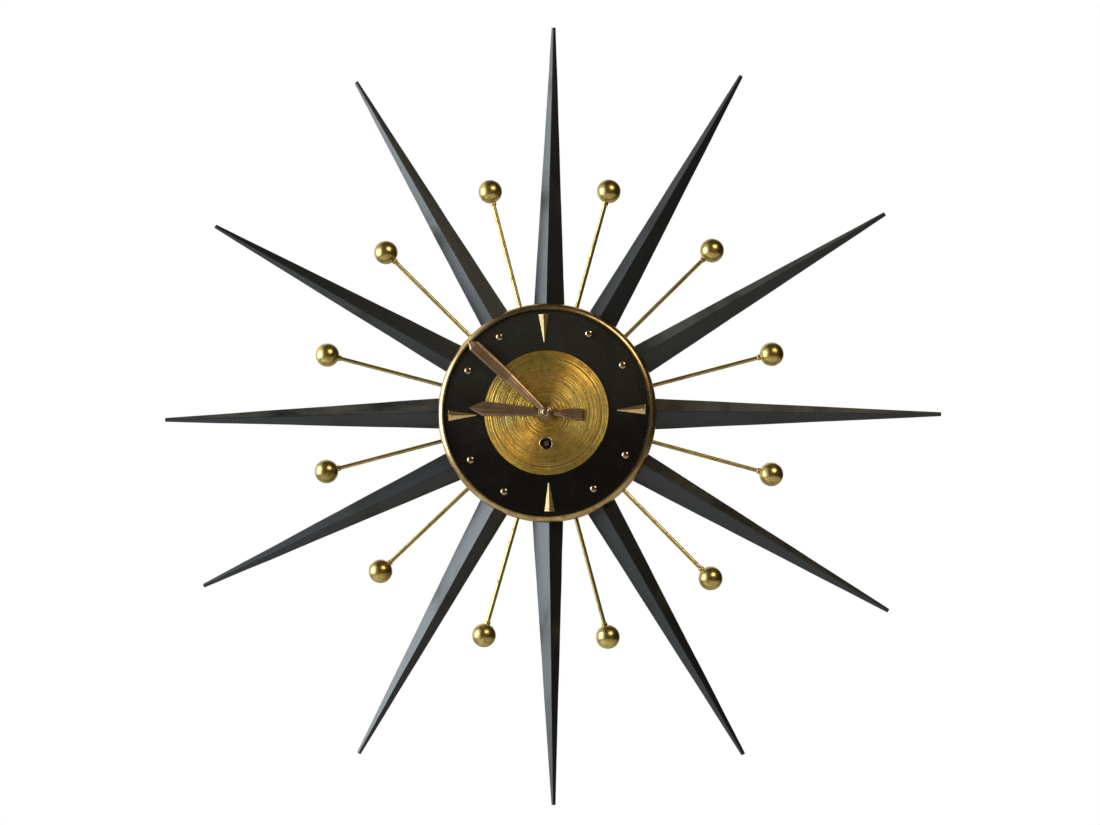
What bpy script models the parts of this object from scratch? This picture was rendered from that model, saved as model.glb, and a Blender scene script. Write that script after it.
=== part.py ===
"""Sunburst wall clock with an eight-day spring movement.

The origin is on the axis of the hands at the wall.  +X is to the right as the
clock is read, +Z is up, and the dial faces -Y, so a depth from the wall is -Y.
Lengths are written in millimetres and multiplied by MM.
"""

import math

import bmesh
import bpy
from mathutils import Matrix, Vector

MM = 0.001
GAP = 0.3 * MM
WELD_DISTANCE = 0.001 * MM
CUT_MARGIN = 1.0 * MM

# Sunburst
TIP_RADIUS = 311.0 * MM
SPIKE_BUTT_INSET = 19.2 * MM
SPIKE_SEAT_INSET = 8.2 * MM
SPIKE_ROOT_WIDTH = 26.6 * MM
SPIKE_ROOT_HEIGHT = 13.0 * MM
SPIKE_EDGE_HEIGHT = 2.2 * MM
SPIKE_TIP_SIZE = 3.2 * MM
BALL_RING_RADIUS = 184.0 * MM
BALL_RADIUS = 9.5 * MM
ROD_RADIUS = 1.6 * MM
ROD_INSIDE = 2.0 * MM
ROD_ABOVE_PLATE = 7.0 * MM

# Each wooden spike is cut and set by hand: (lean in degrees, ridge offset in mm).
SPIKE_SETTING = {
    1: (-0.8, -2.0), 2: (-1.2, -2.9), 3: (-0.2, -2.1), 4: (-0.3, -3.2),
    5: (-0.3, -1.2), 6: (-1.6, -2.2), 7: (-1.6, -1.8), 8: (4.2, -1.4),
    9: (-1.6, 0.3), 10: (-1.3, -3.1), 11: (-0.7, -1.3), 12: (0.5, -1.5),
}
# Degrees by which a rod sits off the middle between its two spikes.
ROD_SETTING = {5: -0.5, 6: 0.6, 7: 1.3, 9: -0.5, 10: -0.6}

# Hub casting, with a plate behind the spikes and a ring inside them
HUB_CLEARANCE = 1.5 * MM
HUB_PLATE = 2.0 * MM
HUB_INSET = 3.2 * MM
HUB_HOLE_RADIUS = 38.0 * MM
HUB_RING_WALL = 5.0 * MM
HUB_RING_INSET = 1.0 * MM
SPIKE_HEADROOM = 4.9 * MM
ROD_HOLE_PLAY = 0.5 * MM

# Back cover
COVER_INSET = 19.0 * MM
COVER_WALL = 0.8 * MM
COVER_FLANGE = 7.0 * MM
COVER_CORNER = 3.0 * MM
KEYHOLE_HEIGHT = 44.0 * MM
KEYHOLE_RADIUS = 4.5 * MM
KEYHOLE_SLOT_WIDTH = 4.4 * MM
KEYHOLE_SLOT_RISE = 9.0 * MM
SCREW_ANGLES = (75, 195, 315)
SCREW_RING_INSET = 3.8 * MM
SCREW_SHANK_RADIUS = 1.2 * MM
SCREW_HEAD_RADIUS = 2.6 * MM
SCREW_HEAD_HEIGHT = 1.5 * MM
SCREW_END_SETBACK = 0.2 * MM

# Dial
PAN_WALL = 0.8 * MM
PAN_RADIUS = 83.2 * MM
PAN_ROLL = 4.7 * MM
PAN_ROLL_DROP = 3.0 * MM
PAN_RIM = 2.5 * MM
DIAL_HOLE_RADIUS = 4.2 * MM
BEZEL_WALL = 3.5 * MM
BEZEL_LIP = 1.8 * MM
BEZEL_RISE = 2.2 * MM
BEZEL_LIP_DROP = 1.4 * MM
BEZEL_CREST_INSET = 0.7 * MM
BEZEL_ROLL = 5.6 * MM
BEZEL_OVERHANG = 0.4 * MM
BEZEL_STEP = 1.6 * MM
DISC_RADIUS = 49.4 * MM
DISC_WALL = 0.7 * MM
DISC_BEVEL = 0.35 * MM
DIAL_TURN = -2.2
MARKER_INSET = 5.0 * MM
MARKER_LENGTH = 22.4 * MM
MARKER_WIDTH = 8.0 * MM
MARKER_HEIGHT = 1.7 * MM
MARKER_EDGE = 0.35 * MM
MARKER_TIP = 0.9 * MM
MARKER_TIP_HEIGHT = 0.6 * MM
MARKER_TIP_EDGE = 0.3 * MM
GROMMET_BORE = 4.5 * MM
GROMMET_WALL = 0.4 * MM
GROMMET_FLANGE = 1.0 * MM
GROMMET_FLANGE_HEIGHT = 0.6 * MM
GROMMET_BEVEL = 0.3 * MM

# Hands, with the time they show at rest as angles clockwise from upright
HAND_THICKNESS = 0.8 * MM
HAND_CLEARANCE = 0.7 * MM
HAND_SPACING = 0.8 * MM
HOUR_PIPE_PROUD = 0.4 * MM
MINUTE_HAND_ANGLE = 312.3
MINUTE_HUB_RADIUS = 4.6 * MM
HOUR_HAND_ANGLE = 273.2
HOUR_HUB_RADIUS = 6.2 * MM
HAND_HUB_EXTRA = 0.5 * MM
HAND_NUT_RADIUS = 3.0 * MM
HAND_NUT_HEIGHT = 2.4 * MM
HAND_NUT_BEVEL = 0.6 * MM
HAND_HUB_SINK = 0.1 * MM
HAND_ARBOR_SETBACK = 0.5 * MM

# Outlines of the hands: distance from the axis and width there, in mm
MINUTE_HAND_STATIONS = ((0.0, 3.0), (52.0, 9.2), (78.0, 9.2), (83.0, 2.4))
HOUR_HAND_STATIONS = ((0.0, 6.0), (50.4, 11.8), (61.4, 0.6))
HOUR_TAIL_STATIONS = ((0.0, 3.6), (11.0, 4.2), (16.0, 7.6), (28.5, 9.8))

# Movement plates
BACK_PLATE_REAR = 6.0 * MM
PLATE_THICKNESS = 1.5 * MM
TRAIN_HEADROOM = 1.3 * MM
PLATE_HALF_WIDTH = 38.0 * MM
PLATE_TOP = 34.0 * MM
PLATE_BOTTOM = -46.0 * MM
PLATE_CHAMFER = 8.0 * MM
PILLAR_RADIUS = 2.2 * MM
PILLAR_PLACES = ((29, 31), (-29, 31), (30, -36), (-30, -36))
ARBOR_RADIUS = 0.9 * MM
PIVOT_RADIUS = 0.5 * MM
PIVOT_SETBACK = 0.2 * MM
CENTRE_ARBOR_RADIUS = 1.0 * MM
CANNON_WALL = 0.4 * MM
HOUR_PIPE_WALL = 0.9 * MM
WINDING_DROP = 24.6 * MM
WINDING_ARBOR_RADIUS = 2.5 * MM
WINDING_PIVOT_RADIUS = 1.5 * MM
WINDING_SQUARE = 3.6 * MM
SQUARE_ROOT = 1.0 * MM
WINDING_RECESS = 1.0 * MM
STUD_RADIUS = 0.8 * MM
MINUTE_STUD_HEIGHT = 4.2 * MM
CLICK_STUD_HEIGHT = 1.8 * MM

# Wheels: tooth counts and modules.  Each pair is a wheel and the pinion it drives.
BARREL_TEETH, INTERMEDIATE_PINION, BARREL_MODULE = 48, 8, 0.80 * MM
INTERMEDIATE_TEETH, CENTRE_PINION, INTERMEDIATE_MODULE = 36, 6, 0.75 * MM
CENTRE_TEETH, THIRD_PINION, CENTRE_MODULE = 45, 6, 0.60 * MM
THIRD_TEETH, FOURTH_PINION, THIRD_MODULE = 36, 6, 0.60 * MM
FOURTH_TEETH, ESCAPE_PINION, FOURTH_MODULE = 48, 6, 0.42 * MM
MINUTE_TEETH, CANNON_TEETH, CANNON_MODULE = 36, 12, 0.50 * MM
HOUR_TEETH, MINUTE_PINION = 40, 10
TOOTH_ADDENDUM = 0.85
TOOTH_DEDENDUM = 1.20
TOOTH_ROOT_SHARE = 0.27
TOOTH_TIP_SHARE = 0.10
WHEEL_THICKNESS = 0.8 * MM
PINION_THICKNESS = 1.2 * MM
CANNON_THICKNESS = 2.0 * MM
MINUTE_PINION_LENGTH = 3.0 * MM
MOTION_STEP = 0.4 * MM

# Heights of the wheels above the plate or wheel that each is counted from
BARREL_LIFT = 1.1 * MM
CENTRE_STEP = 1.6 * MM
THIRD_LIFT = 4.5 * MM
FOURTH_STEP = 3.0 * MM
ESCAPE_STEP = 2.0 * MM
BALANCE_STEP = 3.2 * MM
HAIRSPRING_STEP = 3.4 * MM
MOTION_LIFT = 0.5 * MM

# Directions between arbors, in degrees anticlockwise from +X as the dial is read
THIRD_DIRECTION = 135
FOURTH_DIRECTION = 40
ESCAPE_DIRECTION = 0
LEVER_DIRECTION = -20
BALANCE_DIRECTION = 15
MINUTE_WHEEL_DIRECTION = 200
CLICK_DIRECTION = 20

# Barrel, winding work and escapement
BARREL_FLANGE = 1.6 * MM
BARREL_DRUM_RADIUS = 17.2 * MM
BARREL_DRUM_WALL = 1.0 * MM
BARREL_DRUM_HEIGHT = 5.8 * MM
BARREL_CAP = 0.7 * MM
MAINSPRING_TURNS = 4
MAINSPRING_STRIP = 0.7 * MM
MAINSPRING_INNER_PLAY = 1.5 * MM
MAINSPRING_OUTER_PLAY = 1.0 * MM
RATCHET_TEETH = 20
RATCHET_RADIUS = 6.6 * MM
RATCHET_DEPTH = 0.9 * MM
RATCHET_THICKNESS = 1.4 * MM
CLICK_DISTANCE = 11.0 * MM
CLICK_ARM = 7.8 * MM
CLICK_ARM_DIRECTION = 157
CLICK_HUB_RADIUS = 2.2 * MM
CLICK_HUB_PROUD = 0.1 * MM
CLICK_TAIL = 3.4 * MM
CLICK_HALF_WIDTH = 0.6 * MM
ESCAPE_TEETH = 15
ESCAPE_RADIUS = 6.2 * MM
ESCAPE_TOOTH_DEPTH = 1.4 * MM
LEVER_DISTANCE = 8.0 * MM
LEVER_HALF_WIDTH = 0.5 * MM
PALLET_ARM = 5.9 * MM
PALLET_SPREAD = 117.9
FORK_LENGTH = 7.4 * MM
BALANCE_DISTANCE = 10.5 * MM
BALANCE_RADIUS = 8.5 * MM
BALANCE_RIM = 1.3 * MM
ROLLER_RADIUS = 2.6 * MM
ROLLER_STEP = 0.5 * MM
IMPULSE_PIN_RADIUS = 0.35 * MM
IMPULSE_PIN_OFFSET = 2.0 * MM
HAIRSPRING_TURNS = 3
HAIRSPRING_STRIP = 0.2 * MM
HAIRSPRING_RADIUS = 4.6 * MM
HAIRSPRING_INNER_PLAY = 0.6 * MM

# Depths from the wall that follow from the sizes above
BACK_PLATE_FRONT = BACK_PLATE_REAR + PLATE_THICKNESS
BARREL_REAR = BACK_PLATE_FRONT + BARREL_LIFT
CAP_REAR = BARREL_REAR + BARREL_FLANGE + BARREL_DRUM_HEIGHT + GAP
INTERMEDIATE_REAR = CAP_REAR + BARREL_CAP + GAP
CENTRE_REAR = INTERMEDIATE_REAR + CENTRE_STEP
THIRD_REAR = BACK_PLATE_FRONT + THIRD_LIFT
FOURTH_REAR = THIRD_REAR + FOURTH_STEP
ESCAPE_REAR = THIRD_REAR - ESCAPE_STEP
BALANCE_REAR = ESCAPE_REAR + BALANCE_STEP
HAIRSPRING_REAR = BALANCE_REAR + HAIRSPRING_STEP
FRONT_PLATE_REAR = CENTRE_REAR + WHEEL_THICKNESS + TRAIN_HEADROOM
FRONT_PLATE_FRONT = FRONT_PLATE_REAR + PLATE_THICKNESS
MOTION_REAR = FRONT_PLATE_FRONT + MOTION_LIFT
HUB_REAR = FRONT_PLATE_FRONT + HUB_CLEARANCE
HUB_FRONT = HUB_REAR + HUB_PLATE
HUB_RING_FRONT = HUB_FRONT + SPIKE_ROOT_HEIGHT + SPIKE_HEADROOM
PAN_REAR = HUB_RING_FRONT + GAP
PAN_FRONT = PAN_REAR + PAN_WALL
DISC_REAR = PAN_FRONT + GAP
DISC_FRONT = DISC_REAR + DISC_WALL
GROMMET_SEAT = DISC_FRONT + GAP
HOUR_HAND_REAR = GROMMET_SEAT + GROMMET_FLANGE_HEIGHT + HAND_CLEARANCE
HOUR_PIPE_END = HOUR_HAND_REAR + HAND_THICKNESS + HAND_HUB_EXTRA + HOUR_PIPE_PROUD
MINUTE_HAND_REAR = HOUR_PIPE_END + HAND_SPACING
MINUTE_HAND_FRONT = MINUTE_HAND_REAR + HAND_THICKNESS
HAND_NUT_REAR = MINUTE_HAND_FRONT + HAND_HUB_EXTRA + GAP

# Radii that follow from the size of the dial
HUB_RADIUS = PAN_RADIUS - HUB_INSET
COVER_RADIUS = HUB_RADIUS - COVER_INSET
SPIKE_BUTT_RADIUS = PAN_RADIUS - SPIKE_BUTT_INSET
SPIKE_SEAT_RADIUS = PAN_RADIUS - SPIKE_SEAT_INSET
HUB_RING_OUTER = SPIKE_BUTT_RADIUS - HUB_RING_INSET
MARKER_OUTER_RADIUS = PAN_RADIUS - MARKER_INSET

# Fits between the parts of the movement
CANNON_RADIUS = CENTRE_ARBOR_RADIUS + GAP + CANNON_WALL
HOUR_PIPE_BORE = CANNON_RADIUS + GAP
HOUR_PIPE_RADIUS = HOUR_PIPE_BORE + HOUR_PIPE_WALL
MOTION_DISTANCE = CANNON_MODULE * (MINUTE_TEETH + CANNON_TEETH) / 2
HOUR_MODULE = 2 * MOTION_DISTANCE / (HOUR_TEETH + MINUTE_PINION)
PINION_LEAD = (PINION_THICKNESS - WHEEL_THICKNESS) / 2

CLOCK = bpy.data.collections.new("sunburst_wall_clock")
CUTTERS = bpy.data.collections.new("cutters")
FACE_FRONT = Matrix.Rotation(math.radians(90), 4, "X")


# Scene, materials and placing

def clear_scene():
    for thing in list(bpy.data.objects):
        bpy.data.objects.remove(thing, do_unlink=True)
    bpy.context.scene.collection.children.link(CLOCK)
    bpy.context.scene.collection.children.link(CUTTERS)


def make_material(name, colour, roughness, metallic):
    material = bpy.data.materials.new(name)
    material.use_nodes = True
    shader = material.node_tree.nodes["Principled BSDF"]
    shader.inputs["Base Color"].default_value = (*colour, 1.0)
    shader.inputs["Roughness"].default_value = roughness
    shader.inputs["Metallic"].default_value = metallic
    return material


def polar(radius, degrees):
    """Point at an angle anticlockwise from +X on the face of the clock."""
    turn = math.radians(degrees)
    return Vector((radius * math.cos(turn), radius * math.sin(turn)))


def add_object(name, mesh, material, place=(0.0, 0.0)):
    thing = bpy.data.objects.new(name, mesh)
    thing.location = (place[0], 0.0, place[1])
    if material is not None:
        mesh.materials.append(material)
    CLOCK.objects.link(thing)
    return thing


def make_cutter(thing):
    CLOCK.objects.unlink(thing)
    CUTTERS.objects.link(thing)
    thing.hide_render = True
    thing.display_type = "WIRE"
    return thing


def add_boolean(target, tool, operation):
    make_cutter(tool)
    modifier = target.modifiers.new(operation.lower(), "BOOLEAN")
    modifier.operation = operation
    modifier.object = tool
    return target


def shade(mesh):
    mesh.shade_smooth()
    mesh.set_sharp_from_angle(angle=math.radians(35))


# Ways of making a piece

def flat(name, outlines, rear, thickness, material, place=(0.0, 0.0)):
    """Plate cut to the outlines, the first its edge and the others its holes."""
    curve = bpy.data.curves.new(name, "CURVE")
    curve.dimensions = "2D"
    curve.fill_mode = "BOTH"
    curve.extrude = thickness / 2
    for outline in outlines:
        spline = curve.splines.new("POLY")
        spline.points.add(len(outline) - 1)
        for point, (x, z) in zip(spline.points, outline):
            point.co = (x, z, 0.0, 1.0)
        spline.use_cyclic_u = True
    drawing = bpy.data.objects.new(name + "_outline", curve)
    CLOCK.objects.link(drawing)
    graph = bpy.context.evaluated_depsgraph_get()
    mesh = bpy.data.meshes.new_from_object(drawing.evaluated_get(graph))
    bpy.data.objects.remove(drawing, do_unlink=True)
    edge = bmesh.new()
    edge.from_mesh(mesh)
    bmesh.ops.remove_doubles(edge, verts=edge.verts, dist=WELD_DISTANCE)
    bmesh.ops.recalc_face_normals(edge, faces=edge.faces)
    middle = Matrix.Translation((0.0, 0.0, rear + thickness / 2))
    bmesh.ops.transform(edge, matrix=FACE_FRONT @ middle, verts=edge.verts)
    edge.to_mesh(mesh)
    edge.free()
    mesh.name = name
    return add_object(name, mesh, material, place)


def turned(name, profile, steps, material, place=(0.0, 0.0), closed=True):
    """Turned piece: (radius, depth) points down its outer side from the front.

    A closed profile makes a ring; an open one starts and ends on the axis.
    """
    mesh = bpy.data.meshes.new(name)
    outline = bmesh.new()
    corners = [outline.verts.new((radius, 0.0, depth)) for radius, depth in profile]
    for first, second in zip(corners, corners[1:]):
        outline.edges.new((first, second))
    if closed:
        outline.edges.new((corners[-1], corners[0]))
    outline.to_mesh(mesh)
    outline.free()
    thing = add_object(name, mesh, material, place)
    thing.rotation_euler = (math.radians(90), 0.0, 0.0)
    screw = thing.modifiers.new("turn", "SCREW")
    screw.steps = steps
    screw.render_steps = steps
    screw.use_merge_vertices = True
    screw.merge_threshold = WELD_DISTANCE
    screw.use_smooth_shade = True
    return thing


def spindle(name, bands, steps, material, place=(0.0, 0.0)):
    """Shaft of bands (radius, rear depth, front depth) listed from the front."""
    profile = [(0.0, bands[0][2])]
    for radius, rear, front in bands:
        profile += [(radius, front), (radius, rear)]
    profile.append((0.0, bands[-1][1]))
    return turned(name, profile, steps, material, place, closed=False)


def tapered_bar(name, length, root, tip, material):
    """Flat-backed bar along +Z with a ridge, from a root section to a tip section.

    A section is (width, height, edge height, ridge offset).
    """
    bar = bmesh.new()

    def section(size, distance):
        width, height, edge, offset = size
        crown = 0.12 * width
        corners = [
            (-width / 2, 0.0), (width / 2, 0.0), (width / 2, edge),
            (offset + crown, height * 0.95), (offset, height),
            (offset - crown, height * 0.95), (-width / 2, edge),
        ]
        return [Vector((x, -y, distance)) for x, y in corners]

    start = section(root, 0.0)
    end = section(tip, length)
    face = bar.faces.new([bar.verts.new(corner) for corner in start])
    swept = bmesh.ops.extrude_face_region(bar, geom=[face], use_keep_orig=True)
    far = [item for item in swept["geom"] if isinstance(item, bmesh.types.BMVert)]
    for vert in far:
        nearest = min(range(len(start)), key=lambda k: (start[k] - vert.co).length)
        vert.co = end[nearest]
    bmesh.ops.recalc_face_normals(bar, faces=bar.faces)
    mesh = bpy.data.meshes.new(name)
    bar.to_mesh(mesh)
    bar.free()
    return add_object(name, mesh, material)


# Outlines on the face of the clock

def circle(radius, points, centre=(0.0, 0.0)):
    spots = [polar(radius, 360 * step / points) for step in range(points)]
    return [(centre[0] + spot.x, centre[1] + spot.y) for spot in spots]


def teeth(count, root, tip, root_share, tip_share, direction):
    """Ring of teeth with one tooth on the direction given."""
    pitch = 360 / count
    outline = []
    for tooth in range(count):
        middle = direction + tooth * pitch
        for radius, share in ((root, -root_share), (tip, -tip_share),
                              (tip, tip_share), (root, root_share)):
            outline.append(tuple(polar(radius, middle + share * pitch)))
    return outline


def gear(count, module, direction, gap_there=False):
    """Gear outline with a tooth, or a gap, on the direction of its mate."""
    radius = module * count / 2
    if gap_there:
        direction += 180 / count
    return teeth(count, radius - TOOTH_DEDENDUM * module, radius + TOOTH_ADDENDUM * module,
                 TOOTH_ROOT_SHARE, TOOTH_TIP_SHARE, direction)


def spider(arms, half_width):
    """Flat arms (direction, length) that meet at the origin, in turning order."""
    outline = []
    for number, (direction, length) in enumerate(arms):
        following = arms[(number + 1) % len(arms)][0]
        between = (following - direction) % 360
        along = polar(length, direction)
        across = polar(half_width, direction + 90)
        outline.append(tuple(along - across))
        outline.append(tuple(along + across))
        corner = half_width / math.sin(math.radians(between / 2))
        outline.append(tuple(polar(corner, direction + between / 2)))
    return outline


def spiral(inner, outer, turns, strip, steps):
    """Strip wound from an inner to an outer radius."""
    marks = turns * steps

    def track(shift):
        return [tuple(polar(inner + (outer - inner) * mark / marks + shift, 360 * mark / steps))
                for mark in range(marks + 1)]

    return track(-strip / 2) + track(strip / 2)[::-1]


def hand(stations, tail_stations=()):
    """Hand that points up through its stations, and down through those of its tail."""
    right = [(width * MM / 2, distance * MM) for distance, width in stations]
    tail = [(width * MM / 2, -distance * MM) for distance, width in tail_stations]
    left = [(-x, z) for x, z in reversed(right)] + [(-x, z) for x, z in tail]
    return right + left + tail[::-1]


# Where the arbors stand, from the distances their wheels need

def mesh_distance(module, wheel, pinion):
    return module * (wheel + pinion) / 2


def where_circles_meet(first, first_radius, second, second_radius):
    """Right-hand meeting point of two circles whose centres are one above the other."""
    span = first.y - second.y
    along = (second_radius ** 2 - first_radius ** 2 + span ** 2) / (2 * span)
    across = math.sqrt(second_radius ** 2 - along ** 2)
    return Vector((first.x + across, second.y + along))


def direction_of(start, end):
    step = end - start
    return math.degrees(math.atan2(step.y, step.x))


CENTRE = Vector((0.0, 0.0))
BARREL = Vector((0.0, -WINDING_DROP))
INTERMEDIATE = where_circles_meet(
    CENTRE, mesh_distance(INTERMEDIATE_MODULE, INTERMEDIATE_TEETH, CENTRE_PINION),
    BARREL, mesh_distance(BARREL_MODULE, BARREL_TEETH, INTERMEDIATE_PINION))
THIRD = polar(mesh_distance(CENTRE_MODULE, CENTRE_TEETH, THIRD_PINION), THIRD_DIRECTION)
FOURTH = THIRD + polar(mesh_distance(THIRD_MODULE, THIRD_TEETH, FOURTH_PINION), FOURTH_DIRECTION)
ESCAPE = FOURTH + polar(mesh_distance(FOURTH_MODULE, FOURTH_TEETH, ESCAPE_PINION), ESCAPE_DIRECTION)
LEVER = ESCAPE + polar(LEVER_DISTANCE, LEVER_DIRECTION)
BALANCE = LEVER + polar(BALANCE_DISTANCE, BALANCE_DIRECTION)
MINUTE_WHEEL = polar(MOTION_DISTANCE, MINUTE_WHEEL_DIRECTION)
CLICK = BARREL + polar(CLICK_DISTANCE, CLICK_DIRECTION)


# Pieces of the sunburst

def spike_size(distance):
    """Width, height and edge height of a spike at a distance from its butt."""
    share = distance / (TIP_RADIUS - SPIKE_BUTT_RADIUS)
    width = SPIKE_ROOT_WIDTH + share * (SPIKE_TIP_SIZE - SPIKE_ROOT_WIDTH)
    height = SPIKE_ROOT_HEIGHT + share * (SPIKE_TIP_SIZE - SPIKE_ROOT_HEIGHT)
    return width, height, SPIKE_EDGE_HEIGHT


def make_spikes(wood):
    length = TIP_RADIUS - SPIKE_BUTT_RADIUS
    tip_width, tip_height, _ = spike_size(length)
    for hour, (lean, ridge) in SPIKE_SETTING.items():
        root = (*spike_size(0.0), ridge * MM)
        tip = (tip_width, tip_height, SPIKE_TIP_SIZE * 0.6, 0.0)
        spike = tapered_bar(f"spike_{hour:02d}", length, root, tip, wood)
        inward = SPIKE_BUTT_RADIUS - SPIKE_SEAT_RADIUS
        spike.data.transform(Matrix.Translation((0.0, 0.0, inward)))
        seat = polar(SPIKE_SEAT_RADIUS, 90 - 30 * hour)
        spike.location = (seat.x, -(HUB_FRONT + GAP), seat.y)
        spike.rotation_euler = (0.0, math.radians(30 * hour + lean), 0.0)


def rod_angle(number):
    return 30 * number + 15 + ROD_SETTING.get(number, 0.0)


def make_rods(brass):
    """Rods brazed into their balls, each pair turned here as one profile."""
    inner = HUB_RING_OUTER - HUB_RING_WALL - ROD_INSIDE
    neck = math.asin(ROD_RADIUS / BALL_RADIUS)
    arc_points = 7
    profile = [(0.0, BALL_RING_RADIUS + BALL_RADIUS)]
    for step in range(1, arc_points + 1):
        turn = (math.pi - neck) * step / arc_points
        profile.append((BALL_RADIUS * math.sin(turn), BALL_RING_RADIUS + BALL_RADIUS * math.cos(turn)))
    profile += [(ROD_RADIUS, inner), (0.0, inner)]
    for number in range(12):
        rod = turned(f"ball_rod_{number:02d}", profile, 10, brass, closed=False)
        rod.location = (0.0, -(HUB_FRONT + ROD_ABOVE_PLATE), 0.0)
        rod.rotation_euler = (0.0, math.radians(rod_angle(number)), 0.0)


def drill(radius, rear, front, place, sides=12):
    """Cutter for a round hole through the depths given."""
    return flat("drill", [circle(radius, sides)], rear, front - rear, None, place)


def make_hub(alloy):
    ring_inner = HUB_RING_OUTER - HUB_RING_WALL
    hub = turned("hub", [
        (ring_inner, HUB_RING_FRONT), (HUB_RING_OUTER, HUB_RING_FRONT),
        (HUB_RING_OUTER, HUB_FRONT), (HUB_RADIUS, HUB_FRONT), (HUB_RADIUS, HUB_REAR),
        (HUB_HOLE_RADIUS, HUB_REAR), (HUB_HOLE_RADIUS, HUB_FRONT), (ring_inner, HUB_FRONT),
    ], 40, alloy)
    reach = HUB_RING_WALL + 2 * ROD_INSIDE
    for number in range(12):
        bpy.ops.mesh.primitive_cylinder_add(vertices=8, radius=ROD_RADIUS + ROD_HOLE_PLAY,
                                            depth=reach)
        bit = bpy.context.object
        bit.name = f"rod_drill_{number:02d}"
        for home in list(bit.users_collection):
            home.objects.unlink(bit)
        CLOCK.objects.link(bit)
        middle = polar(HUB_RING_OUTER - HUB_RING_WALL / 2, 90 - rod_angle(number))
        bit.location = (middle.x, -(HUB_FRONT + ROD_ABOVE_PLATE), middle.y)
        bit.rotation_euler = (0.0, math.radians(rod_angle(number)), 0.0)
        add_boolean(hub, bit, "DIFFERENCE")
    for angle in SCREW_ANGLES:
        hole = drill(SCREW_SHANK_RADIUS + GAP, HUB_REAR - GAP, HUB_FRONT + GAP, screw_place(angle))
        add_boolean(hub, hole, "DIFFERENCE")


# The case behind the hub

def screw_place(angle):
    return polar(COVER_RADIUS + SCREW_RING_INSET, 90 - angle)


def make_back_cover(steel):
    flange_front = HUB_REAR - GAP
    flange_rear = flange_front - COVER_WALL
    bend = 3
    outer = [(COVER_RADIUS, flange_rear)]
    inner = [(COVER_RADIUS - COVER_WALL, flange_front)]
    for step in range(bend + 1):
        turn = math.pi / 2 * step / bend
        side, foot = math.cos(turn), 1 - math.sin(turn)
        outer.append((COVER_RADIUS - COVER_CORNER * (1 - side), COVER_CORNER * foot))
        small = COVER_CORNER - COVER_WALL
        inner.append((COVER_RADIUS - COVER_WALL - small * (1 - side), COVER_WALL + small * foot))
    rim = [(COVER_RADIUS + COVER_FLANGE, flange_front), (COVER_RADIUS + COVER_FLANGE, flange_rear)]
    profile = rim + outer + [(0.0, 0.0)]
    cover = turned("back_cover", [(0.0, COVER_WALL)] + inner[::-1] + profile, 40, steel, closed=False)
    keyhole = [tuple(polar(KEYHOLE_RADIUS, angle)) for angle in range(-240, 61, 20)]
    half = KEYHOLE_SLOT_WIDTH / 2
    top = [tuple(polar(half, angle) + Vector((0.0, KEYHOLE_SLOT_RISE))) for angle in range(0, 181, 30)]
    slot = flat("keyhole_cutter", [keyhole + top], -CUT_MARGIN,
                COVER_WALL + 2 * CUT_MARGIN, None, (0.0, KEYHOLE_HEIGHT))
    add_boolean(cover, slot, "DIFFERENCE")
    for angle in SCREW_ANGLES:
        hole = drill(SCREW_SHANK_RADIUS + GAP, flange_rear - GAP, flange_front + GAP, screw_place(angle))
        add_boolean(cover, hole, "DIFFERENCE")


def make_cover_screws(steel):
    head_front = HUB_REAR - GAP - COVER_WALL - GAP
    for number, angle in enumerate(SCREW_ANGLES, start=1):
        spindle(f"cover_screw_{number}", [
            (SCREW_SHANK_RADIUS, head_front, HUB_FRONT - SCREW_END_SETBACK),
            (SCREW_HEAD_RADIUS, head_front - SCREW_HEAD_HEIGHT, head_front),
        ], 14, steel, screw_place(angle))


# Dial

def pan_edge(radius, drop, points):
    """Rolled edge of the dial pan, from its flat face to its rim."""
    start = PAN_RADIUS - PAN_ROLL
    arc = []
    for step in range(points + 1):
        turn = math.pi / 2 * step / points
        arc.append((start + radius * math.sin(turn), PAN_FRONT - PAN_ROLL_DROP + drop * math.cos(turn)))
    return arc


def make_dial_pan(enamel):
    rim_rear = PAN_FRONT - PAN_ROLL_DROP - PAN_RIM
    outer = pan_edge(PAN_ROLL, PAN_ROLL_DROP, 4)
    inner = pan_edge(PAN_ROLL - PAN_WALL, PAN_ROLL_DROP - PAN_WALL, 4)
    profile = [(DIAL_HOLE_RADIUS, PAN_FRONT)] + outer
    profile += [(PAN_RADIUS, rim_rear), (PAN_RADIUS - PAN_WALL, rim_rear)]
    profile += inner[::-1] + [(DIAL_HOLE_RADIUS, PAN_REAR)]
    pan = turned("dial_pan", profile, 48, enamel)
    bore = GROMMET_BORE + GROMMET_WALL + GAP
    add_boolean(pan, drill(bore, PAN_REAR - GAP, PAN_FRONT + GAP, BARREL, 16), "DIFFERENCE")


def bezel_profile():
    """Rolled brass ring that hooks over the rim of the dial pan."""
    inner_wall = PAN_RADIUS + GAP
    outer_wall = inner_wall + BEZEL_WALL
    rear = PAN_FRONT - PAN_ROLL_DROP - PAN_RIM - BEZEL_OVERHANG
    front = PAN_FRONT + BEZEL_RISE
    lip = PAN_RADIUS - BEZEL_LIP
    crest = lip + BEZEL_CREST_INSET
    profile = [(lip, front - BEZEL_LIP_DROP)]
    arc_points = 6
    for step in range(arc_points + 1):
        turn = math.pi / 2 * step / arc_points
        radius = crest + (outer_wall - crest) * math.sin(turn)
        profile.append((radius, front - BEZEL_ROLL * (1 - math.cos(turn))))
    profile += [(outer_wall, rear), (inner_wall, rear), (inner_wall, PAN_FRONT - BEZEL_STEP)]
    return profile


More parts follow.
